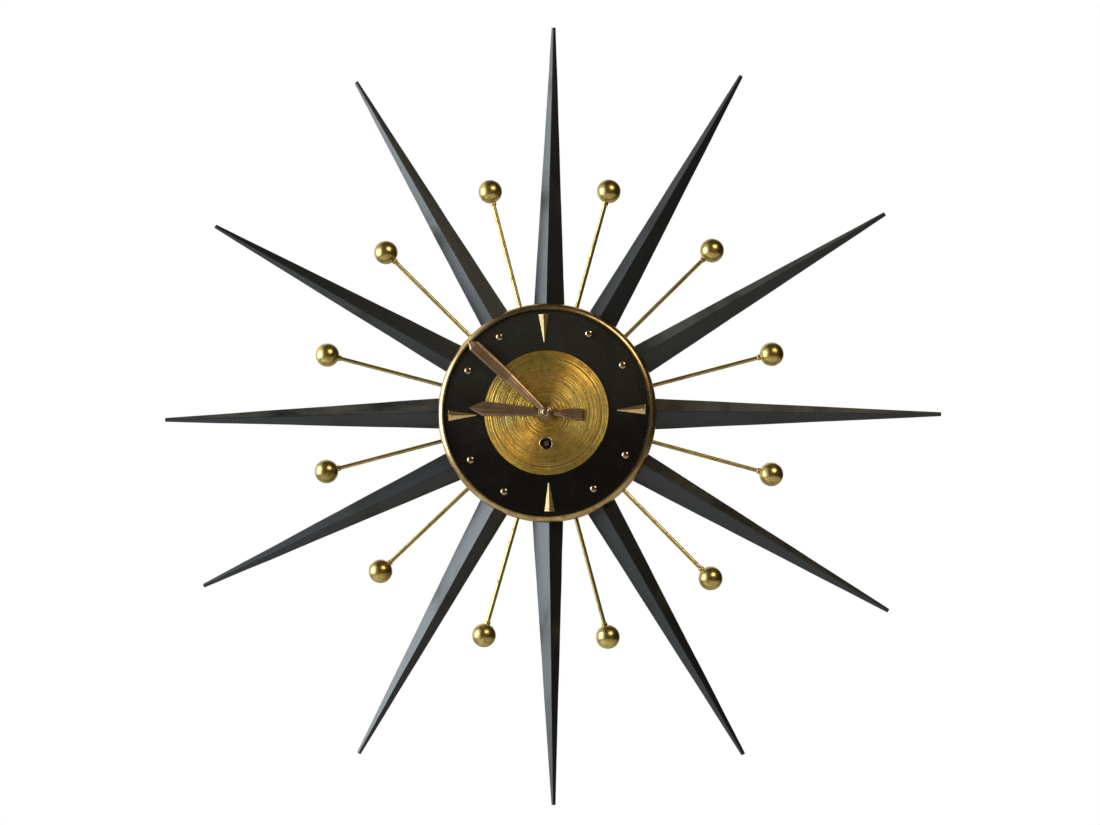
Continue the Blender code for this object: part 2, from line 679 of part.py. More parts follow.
def make_centre_disc(brass):
    disc = turned("centre_disc", [
        (DIAL_HOLE_RADIUS, DISC_FRONT), (DISC_RADIUS - DISC_BEVEL, DISC_FRONT),
        (DISC_RADIUS, DISC_FRONT - DISC_BEVEL), (DISC_RADIUS, DISC_REAR), (DIAL_HOLE_RADIUS, DISC_REAR),
    ], 48, brass)
    bore = GROMMET_BORE + GROMMET_WALL + GAP
    add_boolean(disc, drill(bore, DISC_REAR - GAP, DISC_FRONT + GAP, BARREL, 16), "DIFFERENCE")


def make_markers(brass):
    root = (MARKER_WIDTH, MARKER_HEIGHT, MARKER_EDGE, 0.0)
    tip = (MARKER_TIP, MARKER_TIP_HEIGHT, MARKER_TIP_EDGE, 0.0)
    for hour in (12, 3, 6, 9):
        marker = tapered_bar(f"hour_marker_{hour:02d}", MARKER_LENGTH, root, tip, brass)
        angle = 30 * hour + DIAL_TURN
        start = polar(MARKER_OUTER_RADIUS, 90 - angle)
        marker.location = (start.x, -(PAN_FRONT + GAP), start.y)
        marker.rotation_euler = (0.0, math.radians(angle + 180), 0.0)


def make_grommet(brass):
    outer = GROMMET_BORE + GROMMET_WALL
    flange = GROMMET_BORE + GROMMET_FLANGE
    front = GROMMET_SEAT + GROMMET_FLANGE_HEIGHT
    turned("winding_grommet", [
        (GROMMET_BORE, front), (flange - GROMMET_BEVEL, front), (flange, front - GROMMET_BEVEL),
        (flange, GROMMET_SEAT), (outer, GROMMET_SEAT), (outer, PAN_REAR), (GROMMET_BORE, PAN_REAR),
    ], 20, brass, BARREL)


# Hands

def make_hand(name, outline, angle, rear, hub_radius, bore, metal):
    blade = flat(name, [outline], rear, HAND_THICKNESS, metal)
    front = rear + HAND_THICKNESS + HAND_HUB_EXTRA
    boss_rear = rear - HAND_HUB_SINK
    boss = flat(name + "_boss", [circle(hub_radius, 24)], boss_rear, front - boss_rear, None)
    add_boolean(blade, boss, "UNION")
    add_boolean(blade, drill(bore, rear - CUT_MARGIN, front + CUT_MARGIN, CENTRE, 16), "DIFFERENCE")
    blade.rotation_euler = (0.0, math.radians(angle), 0.0)


def make_hands(copper, brass):
    make_hand("hour_hand", hand(HOUR_HAND_STATIONS, HOUR_TAIL_STATIONS),
              HOUR_HAND_ANGLE, HOUR_HAND_REAR, HOUR_HUB_RADIUS, HOUR_PIPE_RADIUS + GAP, copper)
    make_hand("minute_hand", hand(MINUTE_HAND_STATIONS),
              MINUTE_HAND_ANGLE, MINUTE_HAND_REAR, MINUTE_HUB_RADIUS, CANNON_RADIUS + GAP, copper)
    nut_front = HAND_NUT_REAR + HAND_NUT_HEIGHT
    bore = CENTRE_ARBOR_RADIUS + GAP
    turned("hand_nut", [
        (bore, nut_front), (HAND_NUT_RADIUS - HAND_NUT_BEVEL, nut_front),
        (HAND_NUT_RADIUS, nut_front - HAND_NUT_BEVEL), (HAND_NUT_RADIUS, HAND_NUT_REAR),
        (bore, HAND_NUT_REAR),
    ], 20, brass)


# Movement

def make_arbor(name, place, steel):
    """Arbor between the plates, with a thinner pivot in each of them."""
    return spindle(name + "_arbor", [
        (PIVOT_RADIUS, FRONT_PLATE_REAR - GAP, FRONT_PLATE_FRONT - PIVOT_SETBACK),
        (ARBOR_RADIUS, BACK_PLATE_FRONT + GAP, FRONT_PLATE_REAR - GAP),
        (PIVOT_RADIUS, BACK_PLATE_REAR + PIVOT_SETBACK, BACK_PLATE_FRONT + GAP),
    ], 10, steel, place)


def make_train_wheel(name, place, wheel_outline, wheel_rear, pinion_outline, pinion_rear, metal):
    """Wheel, pinion and arbor pressed together as one turning piece."""
    wheel = flat(name, [wheel_outline], wheel_rear, WHEEL_THICKNESS, metal, place)
    pinion = flat(name + "_pinion", [pinion_outline], pinion_rear, PINION_THICKNESS, None, place)
    add_boolean(wheel, pinion, "UNION")
    add_boolean(wheel, make_arbor(name, place, None), "UNION")
    return wheel


def plate_outline():
    half, top, low, cut = PLATE_HALF_WIDTH, PLATE_TOP, PLATE_BOTTOM, PLATE_CHAMFER
    right = [(half, low + cut), (half, top - cut), (half - cut, top)]
    left = [(-x, z) for x, z in reversed(right)]
    return [(half - cut, low)] + right + left + [(-(half - cut), low)]


def plate_holes():
    pivot = PIVOT_RADIUS + GAP
    holes = [circle(pivot, 10, spot) for spot in (INTERMEDIATE, THIRD, FOURTH, ESCAPE, LEVER, BALANCE)]
    holes.append(circle(CENTRE_ARBOR_RADIUS + GAP, 12, CENTRE))
    return holes


def make_plates(brass):
    back_holes = plate_holes() + [circle(WINDING_PIVOT_RADIUS + GAP, 14, BARREL)]
    flat("back_plate", [plate_outline()] + back_holes, BACK_PLATE_REAR, PLATE_THICKNESS, brass)
    front_holes = plate_holes() + [circle(WINDING_ARBOR_RADIUS, 16, BARREL)]
    front = flat("front_plate", [plate_outline()] + front_holes, FRONT_PLATE_REAR,
                 PLATE_THICKNESS, brass)
    for number, (x, z) in enumerate(PILLAR_PLACES):
        pillar = spindle(f"pillar_{number}", [
            (PILLAR_RADIUS, BACK_PLATE_FRONT + GAP, HUB_REAR - GAP)], 14, None, (x * MM, z * MM))
        add_boolean(front, pillar, "UNION")
    for name, spot, top in (("minute_stud", MINUTE_WHEEL, MOTION_REAR + MINUTE_STUD_HEIGHT),
                            ("click_stud", CLICK, MOTION_REAR + CLICK_STUD_HEIGHT)):
        stud = spindle(name, [(STUD_RADIUS, FRONT_PLATE_REAR + PLATE_THICKNESS / 3, top)], 10, None, spot)
        add_boolean(front, stud, "UNION")


def make_barrel(brass, steel):
    bore = WINDING_ARBOR_RADIUS + GAP
    mate = direction_of(BARREL, INTERMEDIATE)
    barrel = flat("barrel", [gear(BARREL_TEETH, BARREL_MODULE, mate), circle(bore, 20)],
                  BARREL_REAR, BARREL_FLANGE, brass, BARREL)
    drum_rear = BARREL_REAR + BARREL_FLANGE / 2
    drum_front = BARREL_REAR + BARREL_FLANGE + BARREL_DRUM_HEIGHT
    drum_inner = BARREL_DRUM_RADIUS - BARREL_DRUM_WALL
    drum = turned("drum", [
        (drum_inner, drum_front), (BARREL_DRUM_RADIUS, drum_front),
        (BARREL_DRUM_RADIUS, drum_rear), (drum_inner, drum_rear),
    ], 36, None, BARREL)
    add_boolean(barrel, drum, "UNION")
    turned("barrel_cap", [
        (bore, CAP_REAR + BARREL_CAP), (BARREL_DRUM_RADIUS, CAP_REAR + BARREL_CAP),
        (BARREL_DRUM_RADIUS, CAP_REAR), (bore, CAP_REAR),
    ], 36, brass, BARREL)
    coil = spiral(bore + MAINSPRING_INNER_PLAY, drum_inner - MAINSPRING_OUTER_PLAY,
                  MAINSPRING_TURNS, MAINSPRING_STRIP, 12)
    spring_rear = BARREL_REAR + BARREL_FLANGE + GAP
    flat("mainspring", [coil], spring_rear, drum_front - GAP - spring_rear, steel, BARREL)


def make_winding_work(steel):
    ratchet_rear = MOTION_REAR
    neck = WINDING_ARBOR_RADIUS - GAP
    square_rear = ratchet_rear + RATCHET_THICKNESS + GAP
    arbor = spindle("winding_arbor", [
        (neck, FRONT_PLATE_REAR - GAP, square_rear),
        (WINDING_ARBOR_RADIUS, BACK_PLATE_FRONT + GAP, FRONT_PLATE_REAR - GAP),
        (WINDING_PIVOT_RADIUS, BACK_PLATE_REAR + PIVOT_SETBACK, BACK_PLATE_FRONT + GAP),
    ], 16, steel, BARREL)
    half = WINDING_SQUARE / 2
    square_front = DISC_FRONT - WINDING_RECESS
    square = flat("winding_square", [[(-half, -half), (half, -half), (half, half), (-half, half)]],
                  square_rear - SQUARE_ROOT, square_front - square_rear + SQUARE_ROOT, None, BARREL)
    add_boolean(arbor, square, "UNION")
    flat("ratchet_wheel", [
        teeth(RATCHET_TEETH, RATCHET_RADIUS - RATCHET_DEPTH, RATCHET_RADIUS, 0.45, 0.05, 90),
        circle(WINDING_ARBOR_RADIUS, 16),
    ], ratchet_rear, RATCHET_THICKNESS, steel, BARREL)
    pawl = spider([(CLICK_ARM_DIRECTION, CLICK_ARM), (CLICK_ARM_DIRECTION + 180, CLICK_TAIL)],
                  CLICK_HALF_WIDTH)
    click = flat("click", [pawl], ratchet_rear, RATCHET_THICKNESS, steel, CLICK)
    hub = flat("click_hub", [circle(CLICK_HUB_RADIUS, 14)], ratchet_rear - CLICK_HUB_PROUD,
               RATCHET_THICKNESS + 2 * CLICK_HUB_PROUD, None, CLICK)
    add_boolean(click, hub, "UNION")
    bore = drill(STUD_RADIUS + GAP, ratchet_rear - CUT_MARGIN,
                 ratchet_rear + RATCHET_THICKNESS + CUT_MARGIN, CLICK)
    add_boolean(click, bore, "DIFFERENCE")


def make_train(brass, steel):
    make_train_wheel(
        "intermediate_wheel", INTERMEDIATE,
        gear(INTERMEDIATE_TEETH, INTERMEDIATE_MODULE, direction_of(INTERMEDIATE, CENTRE)),
        INTERMEDIATE_REAR,
        gear(INTERMEDIATE_PINION, BARREL_MODULE, direction_of(INTERMEDIATE, BARREL), True),
        BARREL_REAR + PINION_LEAD, brass)
    centre = flat("centre_wheel", [gear(CENTRE_TEETH, CENTRE_MODULE, direction_of(CENTRE, THIRD))],
                  CENTRE_REAR, WHEEL_THICKNESS, brass)
    pinion = flat("centre_pinion", [
        gear(CENTRE_PINION, INTERMEDIATE_MODULE, direction_of(CENTRE, INTERMEDIATE), True)],
        INTERMEDIATE_REAR - PINION_LEAD, PINION_THICKNESS, None)
    arbor = spindle("centre_arbor", [
        (CENTRE_ARBOR_RADIUS, BACK_PLATE_REAR + PIVOT_SETBACK,
         HAND_NUT_REAR + HAND_NUT_HEIGHT - HAND_ARBOR_SETBACK)], 12, None)
    add_boolean(centre, pinion, "UNION")
    add_boolean(centre, arbor, "UNION")
    make_train_wheel(
        "third_wheel", THIRD, gear(THIRD_TEETH, THIRD_MODULE, direction_of(THIRD, FOURTH)), THIRD_REAR,
        gear(THIRD_PINION, CENTRE_MODULE, direction_of(THIRD, CENTRE), True),
        CENTRE_REAR - PINION_LEAD, brass)
    make_train_wheel(
        "fourth_wheel", FOURTH, gear(FOURTH_TEETH, FOURTH_MODULE, direction_of(FOURTH, ESCAPE)),
        FOURTH_REAR, gear(FOURTH_PINION, THIRD_MODULE, direction_of(FOURTH, THIRD), True),
        THIRD_REAR - PINION_LEAD, brass)
    escape_teeth = teeth(ESCAPE_TEETH, ESCAPE_RADIUS - ESCAPE_TOOTH_DEPTH, ESCAPE_RADIUS, 0.3, 0.06, 0)
    make_train_wheel(
        "escape_wheel", ESCAPE, escape_teeth, ESCAPE_REAR,
        gear(ESCAPE_PINION, FOURTH_MODULE, direction_of(ESCAPE, FOURTH), True),
        FOURTH_REAR - PINION_LEAD, steel)


def make_escapement(brass, steel):
    to_fork = direction_of(LEVER, BALANCE)
    arms = [(to_fork, FORK_LENGTH), (LEVER_DIRECTION + PALLET_SPREAD, PALLET_ARM),
            (LEVER_DIRECTION - PALLET_SPREAD + 360, PALLET_ARM)]
    lever = flat("pallet_lever", [spider(arms, LEVER_HALF_WIDTH)], ESCAPE_REAR, WHEEL_THICKNESS,
                 steel, LEVER)
    add_boolean(lever, make_arbor("lever", LEVER, None), "UNION")
    rim_inner = BALANCE_RADIUS - BALANCE_RIM
    window = [tuple(polar(rim_inner, angle)) for angle in range(10, 171, 16)]
    mirrored = [(x, -z) for x, z in window]
    balance = flat("balance_wheel", [circle(BALANCE_RADIUS, 32), window, mirrored],
                   BALANCE_REAR, WHEEL_THICKNESS, brass, BALANCE)
    roller_rear = ESCAPE_REAR + WHEEL_THICKNESS + ROLLER_STEP
    roller = flat("roller", [circle(ROLLER_RADIUS, 14)], roller_rear, WHEEL_THICKNESS, None, BALANCE)
    pin_place = BALANCE + polar(IMPULSE_PIN_OFFSET, to_fork + 180)
    pin = flat("impulse_pin", [circle(IMPULSE_PIN_RADIUS, 8)], ESCAPE_REAR,
               roller_rear + WHEEL_THICKNESS / 2 - ESCAPE_REAR, None, pin_place)
    add_boolean(balance, roller, "UNION")
    pin.location.x -= balance.location.x
    pin.location.z -= balance.location.z
    pin.parent = balance
    add_boolean(balance, pin, "UNION")
    add_boolean(balance, make_arbor("balance", BALANCE, None), "UNION")
    coil = spiral(ARBOR_RADIUS + HAIRSPRING_INNER_PLAY, HAIRSPRING_RADIUS,
                  HAIRSPRING_TURNS, HAIRSPRING_STRIP, 12)
    flat("hairspring", [coil], HAIRSPRING_REAR, WHEEL_THICKNESS, steel, BALANCE)


def make_motion_work(brass, steel):
    cannon_rear = MOTION_REAR
    cannon_bore = CENTRE_ARBOR_RADIUS + GAP
    cannon = flat("cannon_pinion", [
        gear(CANNON_TEETH, CANNON_MODULE, direction_of(CENTRE, MINUTE_WHEEL), True),
        circle(cannon_bore, 12)], cannon_rear, CANNON_THICKNESS, steel)
    pipe = turned("cannon_pipe", [
        (cannon_bore, MINUTE_HAND_FRONT), (CANNON_RADIUS, MINUTE_HAND_FRONT),
        (CANNON_RADIUS, cannon_rear + MM), (cannon_bore, cannon_rear + MM),
    ], 12, None)
    add_boolean(cannon, pipe, "UNION")
    minute_wheel_rear = cannon_rear + MOTION_STEP
    wheel = flat("minute_wheel", [
        gear(MINUTE_TEETH, CANNON_MODULE, direction_of(MINUTE_WHEEL, CENTRE)),
        circle(STUD_RADIUS + GAP, 12)], minute_wheel_rear, WHEEL_THICKNESS, brass, MINUTE_WHEEL)
    pinion_rear = minute_wheel_rear + WHEEL_THICKNESS / 2
    pinion_front = minute_wheel_rear + WHEEL_THICKNESS + MINUTE_PINION_LENGTH
    pinion = flat("minute_pinion", [
        gear(MINUTE_PINION, HOUR_MODULE, direction_of(MINUTE_WHEEL, CENTRE), True),
        circle(STUD_RADIUS + GAP, 12)], pinion_rear, pinion_front - pinion_rear, None, MINUTE_WHEEL)
    add_boolean(wheel, pinion, "UNION")
    hour_rear = cannon_rear + CANNON_THICKNESS + MOTION_STEP
    pipe_rear = hour_rear + WHEEL_THICKNESS / 2
    hour = flat("hour_wheel", [
        gear(HOUR_TEETH, HOUR_MODULE, direction_of(CENTRE, MINUTE_WHEEL)),
        circle(HOUR_PIPE_BORE, 14)], hour_rear, WHEEL_THICKNESS, brass)
    hour_pipe = turned("hour_pipe", [
        (HOUR_PIPE_BORE, HOUR_PIPE_END), (HOUR_PIPE_RADIUS, HOUR_PIPE_END),
        (HOUR_PIPE_RADIUS, pipe_rear), (HOUR_PIPE_BORE, pipe_rear),
    ], 14, None)
    add_boolean(hour, hour_pipe, "UNION")


def make_clock():
    clear_scene()
    lacquer = make_material("black_lacquered_wood", (0.012, 0.012, 0.014), 0.35, 0.0)
    enamel = make_material("black_enamel", (0.01, 0.01, 0.012), 0.12, 0.0)
    brass = make_material("brass", (0.72, 0.52, 0.22), 0.28, 1.0)
    copper = make_material("copper_bronze", (0.48, 0.32, 0.22), 0.34, 1.0)
    steel = make_material("steel", (0.52, 0.53, 0.55), 0.32, 1.0)
    alloy = make_material("cast_alloy", (0.55, 0.56, 0.58), 0.5, 1.0)
    cover_paint = make_material("cover_paint", (0.06, 0.06, 0.062), 0.5, 0.0)
    make_spikes(lacquer)
    make_rods(brass)
    make_hub(alloy)
    make_back_cover(cover_paint)
    make_cover_screws(steel)
    make_dial_pan(enamel)
    turned("bezel", bezel_profile(), 48, brass)
    make_centre_disc(brass)
    make_markers(brass)
    make_grommet(brass)
    make_hands(copper, brass)
    make_plates(brass)
    make_barrel(brass, steel)
    make_winding_work(steel)
    make_train(brass, steel)
    make_escapement(brass, steel)
    make_motion_work(brass, steel)
    for thing in CLOCK.objects:
        shade(thing.data)


make_clock()
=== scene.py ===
"""Sunburst wall clock: black spikes and brass ball rods set round a small brass and enamel dial."""

import math

import bmesh
import bpy
from mathutils import Matrix, Vector, noise


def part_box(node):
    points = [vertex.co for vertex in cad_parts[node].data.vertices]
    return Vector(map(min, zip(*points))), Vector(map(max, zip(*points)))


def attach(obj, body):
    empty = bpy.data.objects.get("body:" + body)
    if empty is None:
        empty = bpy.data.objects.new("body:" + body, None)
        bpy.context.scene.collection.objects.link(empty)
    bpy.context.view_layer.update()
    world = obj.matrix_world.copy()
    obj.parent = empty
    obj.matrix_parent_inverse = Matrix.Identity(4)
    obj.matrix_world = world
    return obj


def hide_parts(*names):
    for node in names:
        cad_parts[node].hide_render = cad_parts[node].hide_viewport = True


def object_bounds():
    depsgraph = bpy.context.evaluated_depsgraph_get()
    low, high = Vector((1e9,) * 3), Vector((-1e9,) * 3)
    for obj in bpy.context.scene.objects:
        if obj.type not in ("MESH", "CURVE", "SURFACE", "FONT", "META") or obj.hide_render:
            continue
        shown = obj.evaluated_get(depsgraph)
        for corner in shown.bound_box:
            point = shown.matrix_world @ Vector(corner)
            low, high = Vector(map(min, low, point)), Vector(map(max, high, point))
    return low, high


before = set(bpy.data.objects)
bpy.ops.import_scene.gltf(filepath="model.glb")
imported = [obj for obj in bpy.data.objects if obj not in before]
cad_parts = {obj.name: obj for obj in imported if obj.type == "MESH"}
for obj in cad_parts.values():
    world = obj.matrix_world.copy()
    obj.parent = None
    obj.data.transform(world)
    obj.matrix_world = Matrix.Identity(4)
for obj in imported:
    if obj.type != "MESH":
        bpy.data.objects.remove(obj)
cad_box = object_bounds()

# Back cover. A drawn steel pan with a rolled corner and a flat flange, sprayed dark
# and rubbed through where it has been handled. A keyhole near its top takes the nail.

MM = 0.001
ROUND_STEPS = 144
MERGE = 0.0005 * MM
CUT_MARGIN = 1.0 * MM


class Signal:
    """A shader socket that takes part in sums."""

    def __init__(self, wiring, socket):
        self.wiring = wiring
        self.socket = socket

    def maths(self, operation, *values):
        return self.wiring.node("ShaderNodeMath", {"operation": operation}, dict(enumerate(values)))

    def __add__(self, other):
        return self.maths("ADD", self, other)

    def __sub__(self, other):
        return self.maths("SUBTRACT", self, other)

    def __mul__(self, other):
        return self.maths("MULTIPLY", self, other)

    def __rsub__(self, other):
        return self.maths("SUBTRACT", other, self)

    __radd__ = __add__
    __rmul__ = __mul__


class Wiring:
    """A node tree, with one way of adding any node."""

    def __init__(self, tree):
        self.tree = tree

    def node(self, kind, settings=None, inputs=None, output=0):
        made = self.tree.nodes.new(kind)
        for setting, value in (settings or {}).items():
            setattr(made, setting, value)
        for name, value in (inputs or {}).items():
            socket = made.inputs[name]
            if isinstance(value, Signal):
                self.tree.links.new(value.socket, socket)
            elif socket.type == "RGBA":
                socket.default_value = (*value, 1.0)
            else:
                socket.default_value = value
        return Signal(self, made.outputs[output])

    def mix(self, share, first, second):
        return self.node("ShaderNodeMix", {"data_type": "RGBA"}, {0: share, 6: first, 7: second}, 2)

    def rise(self, value, low, high):
        """0 below low and 1 above high, with a smooth rise between them."""
        return self.node("ShaderNodeMapRange", {"interpolation_type": "SMOOTHSTEP"},
                         {"Value": value, "From Min": low, "From Max": high})


class Finish(Wiring):
    """A surface finish on one Principled shader."""

    def __init__(self, name, fixed):
        self.material = bpy.data.materials.new(name)
        self.material.use_nodes = True
        super().__init__(self.material.node_tree)
        self.shader = self.tree.nodes["Principled BSDF"]
        for socket, value in fixed.items():
            self.shader.inputs[socket].default_value = value
        self.place = self.node("ShaderNodeTexCoord", output="Object")

    def give(self, socket, signal):
        self.tree.links.new(signal.socket, self.shader.inputs[socket])

    def clouds(self, size, detail=4.0, roughness=0.55, stretch=(1, 1, 1), place=None):
        """Pattern from 0 to 1 with features of a real size, drawn out along the stretched axes."""
        scale = tuple(1 / (size * length) for length in stretch)
        spot = self.node("ShaderNodeMapping", {}, {"Vector": place or self.place, "Scale": scale})
        return self.node("ShaderNodeTexNoise", {}, {
            "Vector": spot, "Scale": 1.0, "Detail": detail, "Roughness": roughness})

    def specks(self, size, amount):
        """Small spots, 1 at their middles, over a share of the surface."""
        scale = 3 * (1 / size,)
        spot = self.node("ShaderNodeMapping", {}, {"Vector": self.place, "Scale": scale})
        near = self.node("ShaderNodeTexVoronoi", {}, {"Vector": spot, "Scale": 1.0})
        chosen = self.rise(self.clouds(2.5 * size, 1.0), 1 - amount, 1.05 - amount)
        return (1 - self.rise(near, 0.1, 0.34)) * chosen

    def relief(self, height, depth):
        """Bump whose full range is a real depth."""
        self.give("Normal", self.node("ShaderNodeBump", {}, {
            "Height": height, "Distance": depth, "Strength": 1.0}))


def depths(node):
    """Rear and front of a CAD node as depths from the wall."""
    low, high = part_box(node)
    return -high.y, -low.y


def reach(node):
    """Radius of a CAD node that is round and as wide as it is."""
    low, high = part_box(node)
    return (high.x - low.x) / 2


def around(radius, degrees):
    """Point on the face of the clock at an angle clockwise from upright, as x and z."""
    turn = math.radians(degrees)
    return radius * math.sin(turn), radius * math.cos(turn)


def outline_face(shape, corners):
    """Flat face through (point, rounding) corners."""
    rounding_steps = 5
    points = [shape.verts.new(point) for point, _ in corners]
    shape.faces.new(points)
    for point, (_, rounding) in zip(points, corners):
        if rounding:
            bmesh.ops.bevel(shape, geom=[point], offset=rounding, segments=rounding_steps,
                            profile=0.5, affect="VERTICES", material=-1)


def turn(outline, steps=ROUND_STEPS, centre=(0.0, 0.0)):
    """Turned shape from (radius, depth, rounding) corners, on an axis square to the wall."""
    shape = bmesh.new()
    outline_face(shape, [((radius, -depth, 0.0), rounding) for radius, depth, rounding in outline])
    bmesh.ops.delete(shape, geom=shape.faces[:], context="FACES_ONLY")
    on_axis = [edge for edge in shape.edges if max(abs(vert.co.x) for vert in edge.verts) < MERGE]
    bmesh.ops.delete(shape, geom=on_axis, context="EDGES")
    bmesh.ops.spin(shape, geom=shape.verts[:] + shape.edges[:], cent=(0, 0, 0), axis=(0, 1, 0),
                   angle=2 * math.pi, steps=steps, use_merge=True)
    bmesh.ops.translate(shape, vec=(centre[0], 0.0, centre[1]), verts=shape.verts)
    return shape


def slab(outline, rear, front):
    """Plate from (x, z, rounding) corners between two depths."""
    shape = bmesh.new()
    outline_face(shape, [((x, -rear, z), rounding) for x, z, rounding in outline])
    swept = bmesh.ops.extrude_face_region(shape, geom=shape.faces[:], use_keep_orig=True)
    moved = [item for item in swept["geom"] if isinstance(item, bmesh.types.BMVert)]
    bmesh.ops.translate(shape, vec=(0.0, rear - front, 0.0), verts=moved)
    return shape


def solid(name, shape):
    """Closes the seams, turns the faces out and makes the shape an object."""
    bmesh.ops.remove_doubles(shape, verts=shape.verts, dist=MERGE)
    bmesh.ops.recalc_face_normals(shape, faces=shape.faces)
    mesh = bpy.data.meshes.new(name)
    shape.to_mesh(mesh)
    shape.free()
    made = bpy.data.objects.new(name, mesh)
    bpy.context.scene.collection.objects.link(made)
    return made


def fit(name, shape, finish, replaced=(), body="root", cutters=(), crease=32):
    """Finishes a piece: cuts it, marks its hard edges and hangs it on its body."""
    piece = solid(name, shape)
    for cutter in cutters:
        tool = solid("cutter", cutter)
        cut = piece.modifiers.new("cut", "BOOLEAN")
        cut.operation = "DIFFERENCE"
        cut.object = tool
        graph = bpy.context.evaluated_depsgraph_get()
        piece.data = bpy.data.meshes.new_from_object(piece.evaluated_get(graph))
        piece.modifiers.clear()
        bpy.data.objects.remove(tool)
    piece.data.name = name
    piece.data.shade_smooth()
    piece.data.set_sharp_from_angle(angle=math.radians(crease))
    weighted = piece.modifiers.new("even_shading", "WEIGHTED_NORMAL")
    weighted.keep_sharp = True
    piece.data.materials.clear()
    piece.data.materials.append(finish.material)
    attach(piece, body)
    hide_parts(*replaced)
    return piece


def sprayed_steel():
    """Thin dark paint over steel, dusty in its corners and scuffed to the metal."""
    paint = Finish("sprayed_steel", {"Specular IOR Level": 0.45})
    mottle = paint.clouds(14 * MM, 5.0)
    scuffs = paint.rise(paint.clouds(3 * MM, 8.0, 0.75) * paint.clouds(28 * MM, 2.0), 0.36, 0.42)
    dust = paint.rise(paint.clouds(9 * MM, 6.0, 0.7), 0.5, 0.8)
    coat = paint.mix(mottle, (0.022, 0.021, 0.020), (0.045, 0.041, 0.036))
    coat = paint.mix(dust * 0.35, coat, (0.16, 0.14, 0.115))
    paint.give("Base Color", paint.mix(scuffs, coat, (0.33, 0.31, 0.28)))
    paint.give("Metallic", scuffs * 0.9)
    paint.give("Roughness", 0.42 + dust * 0.25 - scuffs * 0.12)
    paint.relief(paint.clouds(0.7 * MM, 3.0) - scuffs * 0.6, 0.05 * MM)
    return paint


COVER_WALL = 0.8 * MM
COVER_CORNER = 3.0 * MM
FLANGE_WIDTH = 7.0 * MM
KEYHOLE_RADIUS = 4.5 * MM
KEYHOLE_SLOT_HALF = 2.2 * MM
KEYHOLE_SLOT_ROUND = 0.99 * KEYHOLE_SLOT_HALF
KEYHOLE_SLOT_RISE = 9.0 * MM
KEYHOLE_BELOW_TOP = 24.0 * MM

back_rear, back_front = depths("back_cover")
flange_radius = reach("back_cover")
cover_radius = flange_radius - FLANGE_WIDTH
cover_outline = [
    (0.0, back_rear, 0), (cover_radius, back_rear, COVER_CORNER),
    (cover_radius, back_front - COVER_WALL, 0.7 * MM), (flange_radius, back_front - COVER_WALL, 0.2 * MM),
    (flange_radius, back_front, 0.2 * MM), (cover_radius - COVER_WALL, back_front, 0.5 * MM),
    (cover_radius - COVER_WALL, back_rear + COVER_WALL, COVER_CORNER - COVER_WALL),
    (0.0, back_rear + COVER_WALL, 0),
]
keyhole_z = flange_radius - KEYHOLE_BELOW_TOP
keyhole = []
for degrees in range(30, 331, 12):
    x, z = around(KEYHOLE_RADIUS, degrees)
    keyhole.append((x, keyhole_z + z, 0))
slot_top = keyhole_z + KEYHOLE_SLOT_RISE + KEYHOLE_SLOT_HALF
for side in (-KEYHOLE_SLOT_HALF, KEYHOLE_SLOT_HALF):
    keyhole.append((side, slot_top, KEYHOLE_SLOT_ROUND))
cover_finish = sprayed_steel()
fit("back_case", turn(cover_outline), cover_finish, ["back_cover"],
    cutters=[slab(keyhole, back_rear - CUT_MARGIN, back_rear + COVER_WALL + CUT_MARGIN)])

# Cover screws. Three slotted cheese-head screws of nickel-plated steel, turned through
# the flange of the cover into the hub; their slots stand wherever they came tight.

SCREW_SHANK_SHARE = 0.46
SCREW_HEAD_GAP = 0.2 * MM
SCREW_SLOT_HALF = 0.35 * MM
SCREW_SLOT_DEPTH = 0.7 * MM
SCREW_TURNS = {1: 24, 2: 71, 3: 128}


def nickel():
    """Dull nickel plate with brown spots where it has begun to go."""
    plate = Finish("nickel_plate", {"Metallic": 1.0})
    rust = plate.rise(plate.clouds(1.1 * MM, 6.0, 0.7), 0.56, 0.72)
    plate.give("Base Color", plate.mix(rust, (0.46, 0.45, 0.42), (0.15, 0.09, 0.05)))
    plate.give("Roughness", 0.3 + rust * 0.35 + plate.clouds(3 * MM) * 0.1)
    plate.relief(plate.clouds(0.25 * MM, 3.0, stretch=(1, 1, 8)), 0.01 * MM)
    return plate


def bar_cutter(centre, degrees, half_width, rear, front):
    """Cutter for a slot, longer than any head, at an angle clockwise from upright."""
    half_length = 8 * MM
    shape = slab([(-half_width, -half_length, 0), (half_width, -half_length, 0),
                  (half_width, half_length, 0), (-half_width, half_length, 0)], rear, front)
    place = (Matrix.Translation((centre[0], 0.0, centre[1]))
             @ Matrix.Rotation(math.radians(degrees), 4, "Y"))
    bmesh.ops.transform(shape, matrix=place, verts=shape.verts)
    return shape


screw_finish = nickel()
for number, slot_turn in SCREW_TURNS.items():
    node = f"cover_screw_{number}"
    low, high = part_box(node)
    rear, front = depths(node)
    centre = ((low.x + high.x) / 2, (low.z + high.z) / 2)
    head = (high.x - low.x) / 2
    shank = SCREW_SHANK_SHARE * head
    under_head = back_front - COVER_WALL - SCREW_HEAD_GAP
    screw = turn([(0.0, rear, 0), (head, rear + 0.1 * MM, 0.45 * MM), (head, under_head, 0.1 * MM),
                  (shank, under_head, 0), (shank, front, 0.2 * MM), (0.0, front, 0)], 40, centre)
    groove = bar_cutter(centre, slot_turn, SCREW_SLOT_HALF, rear - CUT_MARGIN, rear + SCREW_SLOT_DEPTH)
    fit(f"slotted_screw_{number}", screw, screw_finish, [node], cutters=[groove])

